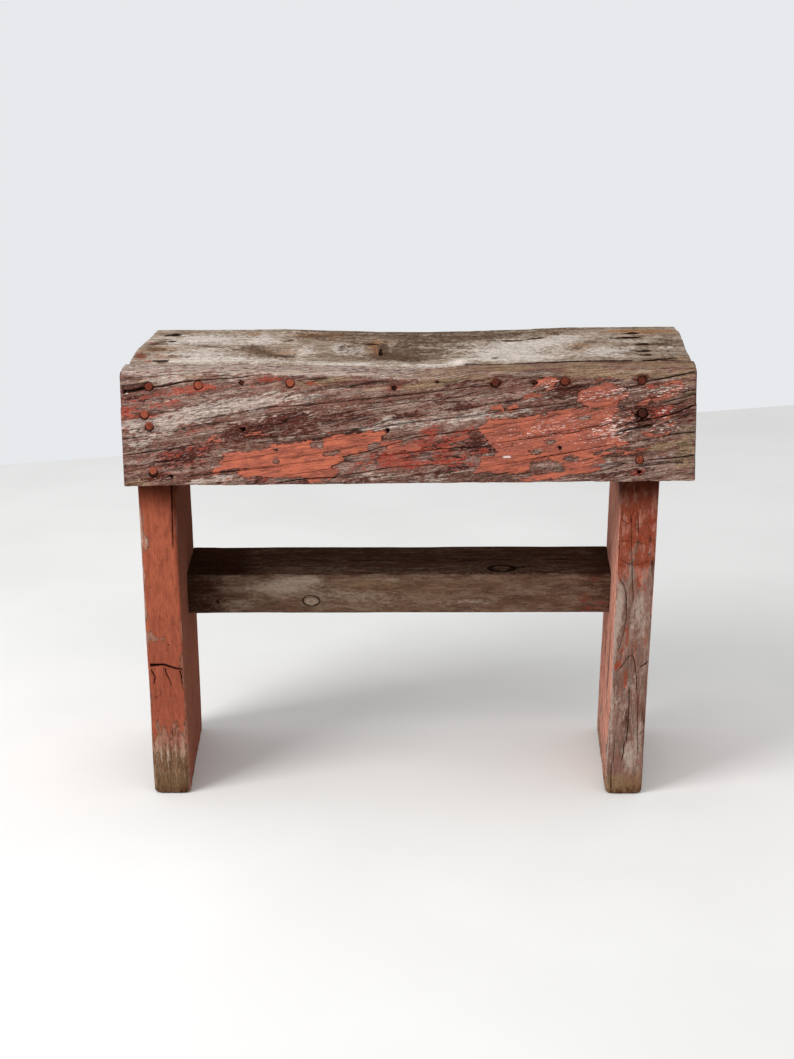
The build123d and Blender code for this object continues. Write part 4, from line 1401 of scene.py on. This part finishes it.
# ------------------------------------------------------------------------------------------
# stage, light and camera
# ------------------------------------------------------------------------------------------
def make_floor():
    """A pale floor that ends a little way behind the bench, on a slant."""
    left_edge, right_edge = np.array([-0.750, 1.381]), np.array([0.660, 1.831])
    along = right_edge - left_edge
    far_left, far_right = left_edge - 4 * along, right_edge + 4 * along
    corners = [(far_left[0], -14, 0), (far_right[0], -14, 0), (*far_right, 0), (*far_left, 0)]
    mesh = bpy.data.meshes.new("floor")
    mesh.from_pydata(corners, [], [(0, 1, 2, 3)])
    floor = add_object("floor", mesh)
    finish = Finish("pale_floor")
    place = finish.node("ShaderNodeTexCoord", {}, {}, "Object")
    cloud = finish.node("ShaderNodeTexNoise", {}, {"Vector": place, "Scale": 3.0, "Detail": 3.0}, "Fac")
    colour = finish.mix(daylight(237, 236, 234), daylight(242, 241, 239), cloud.step(0.35, 0.65))
    depth = finish.node("ShaderNodeSeparateXYZ", {}, {"Vector": place}, "Y")
    # Painted shade: the floor is darker towards the front, where the lamps light it most.
    colour = finish.mix(colour, daylight(229, 228, 226), depth.step(-0.15, -1.0))
    shader = finish.node("ShaderNodeBsdfDiffuse", {}, {"Color": colour})
    finish.end(shader)
    mesh.materials.append(finish.material)


def make_room():
    """An even pale light from all round, with a pale wall where the camera looks past the floor."""
    world = bpy.data.worlds.new("pale_room")
    bpy.context.scene.world = world
    world.use_nodes = True
    tree = world.node_tree
    tree.nodes.clear()
    path = tree.nodes.new("ShaderNodeLightPath")
    seen = tree.nodes.new("ShaderNodeMixShader")
    output = tree.nodes.new("ShaderNodeOutputWorld")
    rays = path.outputs["Is Camera Ray"]
    for name in ("Is Glossy Ray", "Is Transmission Ray"):
        either = tree.nodes.new("ShaderNodeMath")
        either.operation = "MAXIMUM"
        tree.links.new(rays, either.inputs[0])
        tree.links.new(path.outputs[name], either.inputs[1])
        rays = either.outputs[0]
    tree.links.new(rays, seen.inputs[0])
    for place, (colour, strength) in enumerate((room_light, wall_light), start=1):
        shader = tree.nodes.new("ShaderNodeBackground")
        shader.inputs["Color"].default_value = colour
        shader.inputs["Strength"].default_value = strength
        tree.links.new(shader.outputs[0], seen.inputs[place])
    tree.links.new(seen.outputs[0], output.inputs["Surface"])


def make_lamp(name, place, wide, high, power):
    """A soft panel of light that faces the bench and that no camera sees."""
    light = bpy.data.lights.new(name, "AREA")
    light.shape = "RECTANGLE"
    light.size, light.size_y = wide, high
    light.energy = power
    lamp = add_object(name, light)
    lamp.location = place
    aim = Vector(lamp_target) - Vector(place)
    lamp.rotation_euler = aim.to_track_quat("-Z", "Y").to_euler()
    lamp.visible_camera = False


def make_camera():
    """A camera in front, above and a little to the right, with a long lens."""
    pitch, roll, yaw = camera_turn
    forward = Vector((math.sin(yaw) * math.cos(pitch), math.cos(yaw) * math.cos(pitch), -math.sin(pitch)))
    level = Vector((math.cos(yaw), -math.sin(yaw), 0.0))
    upright = level.cross(forward)
    right = math.cos(roll) * level + math.sin(roll) * upright
    up = math.cos(roll) * upright - math.sin(roll) * level
    turn = Matrix((right, up, -forward)).transposed().to_4x4()
    data = bpy.data.cameras.new("camera")
    data.sensor_fit = "VERTICAL"
    data.sensor_height = sensor_height
    data.lens = sensor_height * focal_pixels / picture_height
    data.clip_start, data.clip_end = 0.05, 60.0
    camera = add_object("camera", data)
    camera.matrix_world = Matrix.Translation(Vector(camera_place)) @ turn
    bpy.context.scene.camera = camera


picture_height = 1059
focal_pixels = 2145.36
sensor_height = 36.0             # mm
camera_place = (0.07236, -2.15366, 0.85584)
camera_turn = (0.2683, -0.0144, -0.0411)  # pitch down, roll and yaw, in radians
# Colour and strength of what lights the bench from all round, and of the wall that the camera sees.
room_light = ((0.97, 0.985, 1.0, 1.0), 0.70)
wall_light = (daylight(231, 233, 236), 1.0)
lamp_target = (0.0, 0.0, 0.25)
# Each lamp's place in metres, width, height, and power in watts.
window = ((-1.60, -1.22, 1.62), 1.2, 1.2, 40.0)
ceiling = ((0.2, -2.0, 3.0), 3.2, 2.4, 13.0)

seat_wood = wood_finish(
    "weathered_seat_wood", (104, 85, 69), (150, 132, 115), (178, 162, 147), blush=(140, 116, 97),
    paint=(170, 92, 76), old_paint=(120, 58, 48), film=(134, 70, 56),
    stain=(84, 63, 48), pale=(208, 196, 186), warm=(148, 100, 58),
    contrast=0.6, along=0.65, across=2.4, lines=0.5, soft=0.42, salt=0.8,
)
apron_wood = wood_finish(
    "flaking_red_apron", (80, 50, 42), (124, 93, 81), (154, 128, 116), blush=(122, 74, 62),
    paint=(186, 103, 79), old_paint=(148, 86, 73), film=(146, 52, 38),
    stain=(76, 36, 30), pale=(188, 169, 158), warm=(148, 121, 93), contrast=0.95,
)
left_leg_wood = wood_finish(
    "painted_left_leg", (80, 56, 40), (112, 84, 62), (134, 106, 84), blush=(108, 74, 54),
    paint=(160, 86, 63), old_paint=(122, 64, 50), film=(152, 98, 81),
    stain=(58, 24, 15), pale=(192, 168, 150), warm=(108, 82, 56),
    contrast=0.72, lines=0.45, calm=0.7, soft=0.36, salt=0.1,
)
right_leg_wood = wood_finish(
    "worn_right_leg", (98, 74, 62), (124, 95, 83), (146, 119, 107), blush=(130, 86, 72),
    paint=(206, 146, 127), old_paint=(132, 66, 48), film=(140, 62, 40),
    stain=(58, 26, 17), pale=(174, 153, 140), warm=(130, 100, 66),
    contrast=0.38, along=0.8, across=1.3, lines=0.4, calm=0.5, soft=0.4, salt=0.2,
)
stretcher_wood = wood_finish(
    "weathered_stretcher_wood", (78, 55, 43), (104, 80, 65), (124, 101, 85), blush=(98, 71, 56),
    paint=(150, 78, 60), old_paint=(110, 52, 40), film=(116, 48, 36),
    stain=(46, 24, 15), pale=(154, 136, 120), warm=(118, 92, 68),
    contrast=0.42, along=0.8, across=1.2, lines=0.35, calm=0.7, soft=0.46, salt=0.1,
)
rusty_nail = nail_finish("rusty_nail", daylight(62, 27, 20), daylight(108, 48, 32), daylight(150, 78, 56))

make_front_apron(apron_wood)
make_seat_board("worn_seat_plank", "seat_plank", plank_low, plank_high, -1e3, plank_stubs, 50, seat_wood)
make_seat_board("worn_rear_strip", "rear_strip", strip_low, strip_high, back_face, strip_stubs, 55, seat_wood)
make_leg("painted_left_leg_plank", "left_leg", -1, left_leg_set, left_leg_heads, 70, left_leg_wood,
         paint_left_front, 2.2)
make_leg("worn_right_leg_plank", "right_leg", 1, right_leg_set, right_leg_heads, 75, right_leg_wood,
         paint_right_front, 2.6)
make_stretcher(stretcher_wood)

for node in front_nail_nodes:
    make_nails(node + "_hammered", node, ACROSS_Y, -1, True, proud_head, rusty_nail)
make_nails("front_apron_nail_stubs", "front_apron_headless_nails", ACROSS_Y, -1, False, apron_stub_lift,
           rusty_nail)
for node in plank_nail_nodes + strip_nail_nodes:
    make_nails(node + "_rusted_off", node, ACROSS_Z, 1, False, seat_stub_lift, rusty_nail)
for node, outward in (("left_leg_stretcher_nails", -1), ("right_leg_stretcher_nails", 1)):
    make_nails(node + "_hammered", node, ACROSS_X, outward, True, leg_head_lift, rusty_nail)
make_bent_nail(rusty_nail)

make_floor()
make_room()
make_lamp("window", *window)
make_lamp("ceiling", *ceiling)
make_camera()
bpy.context.scene.view_settings.view_transform = "Standard"
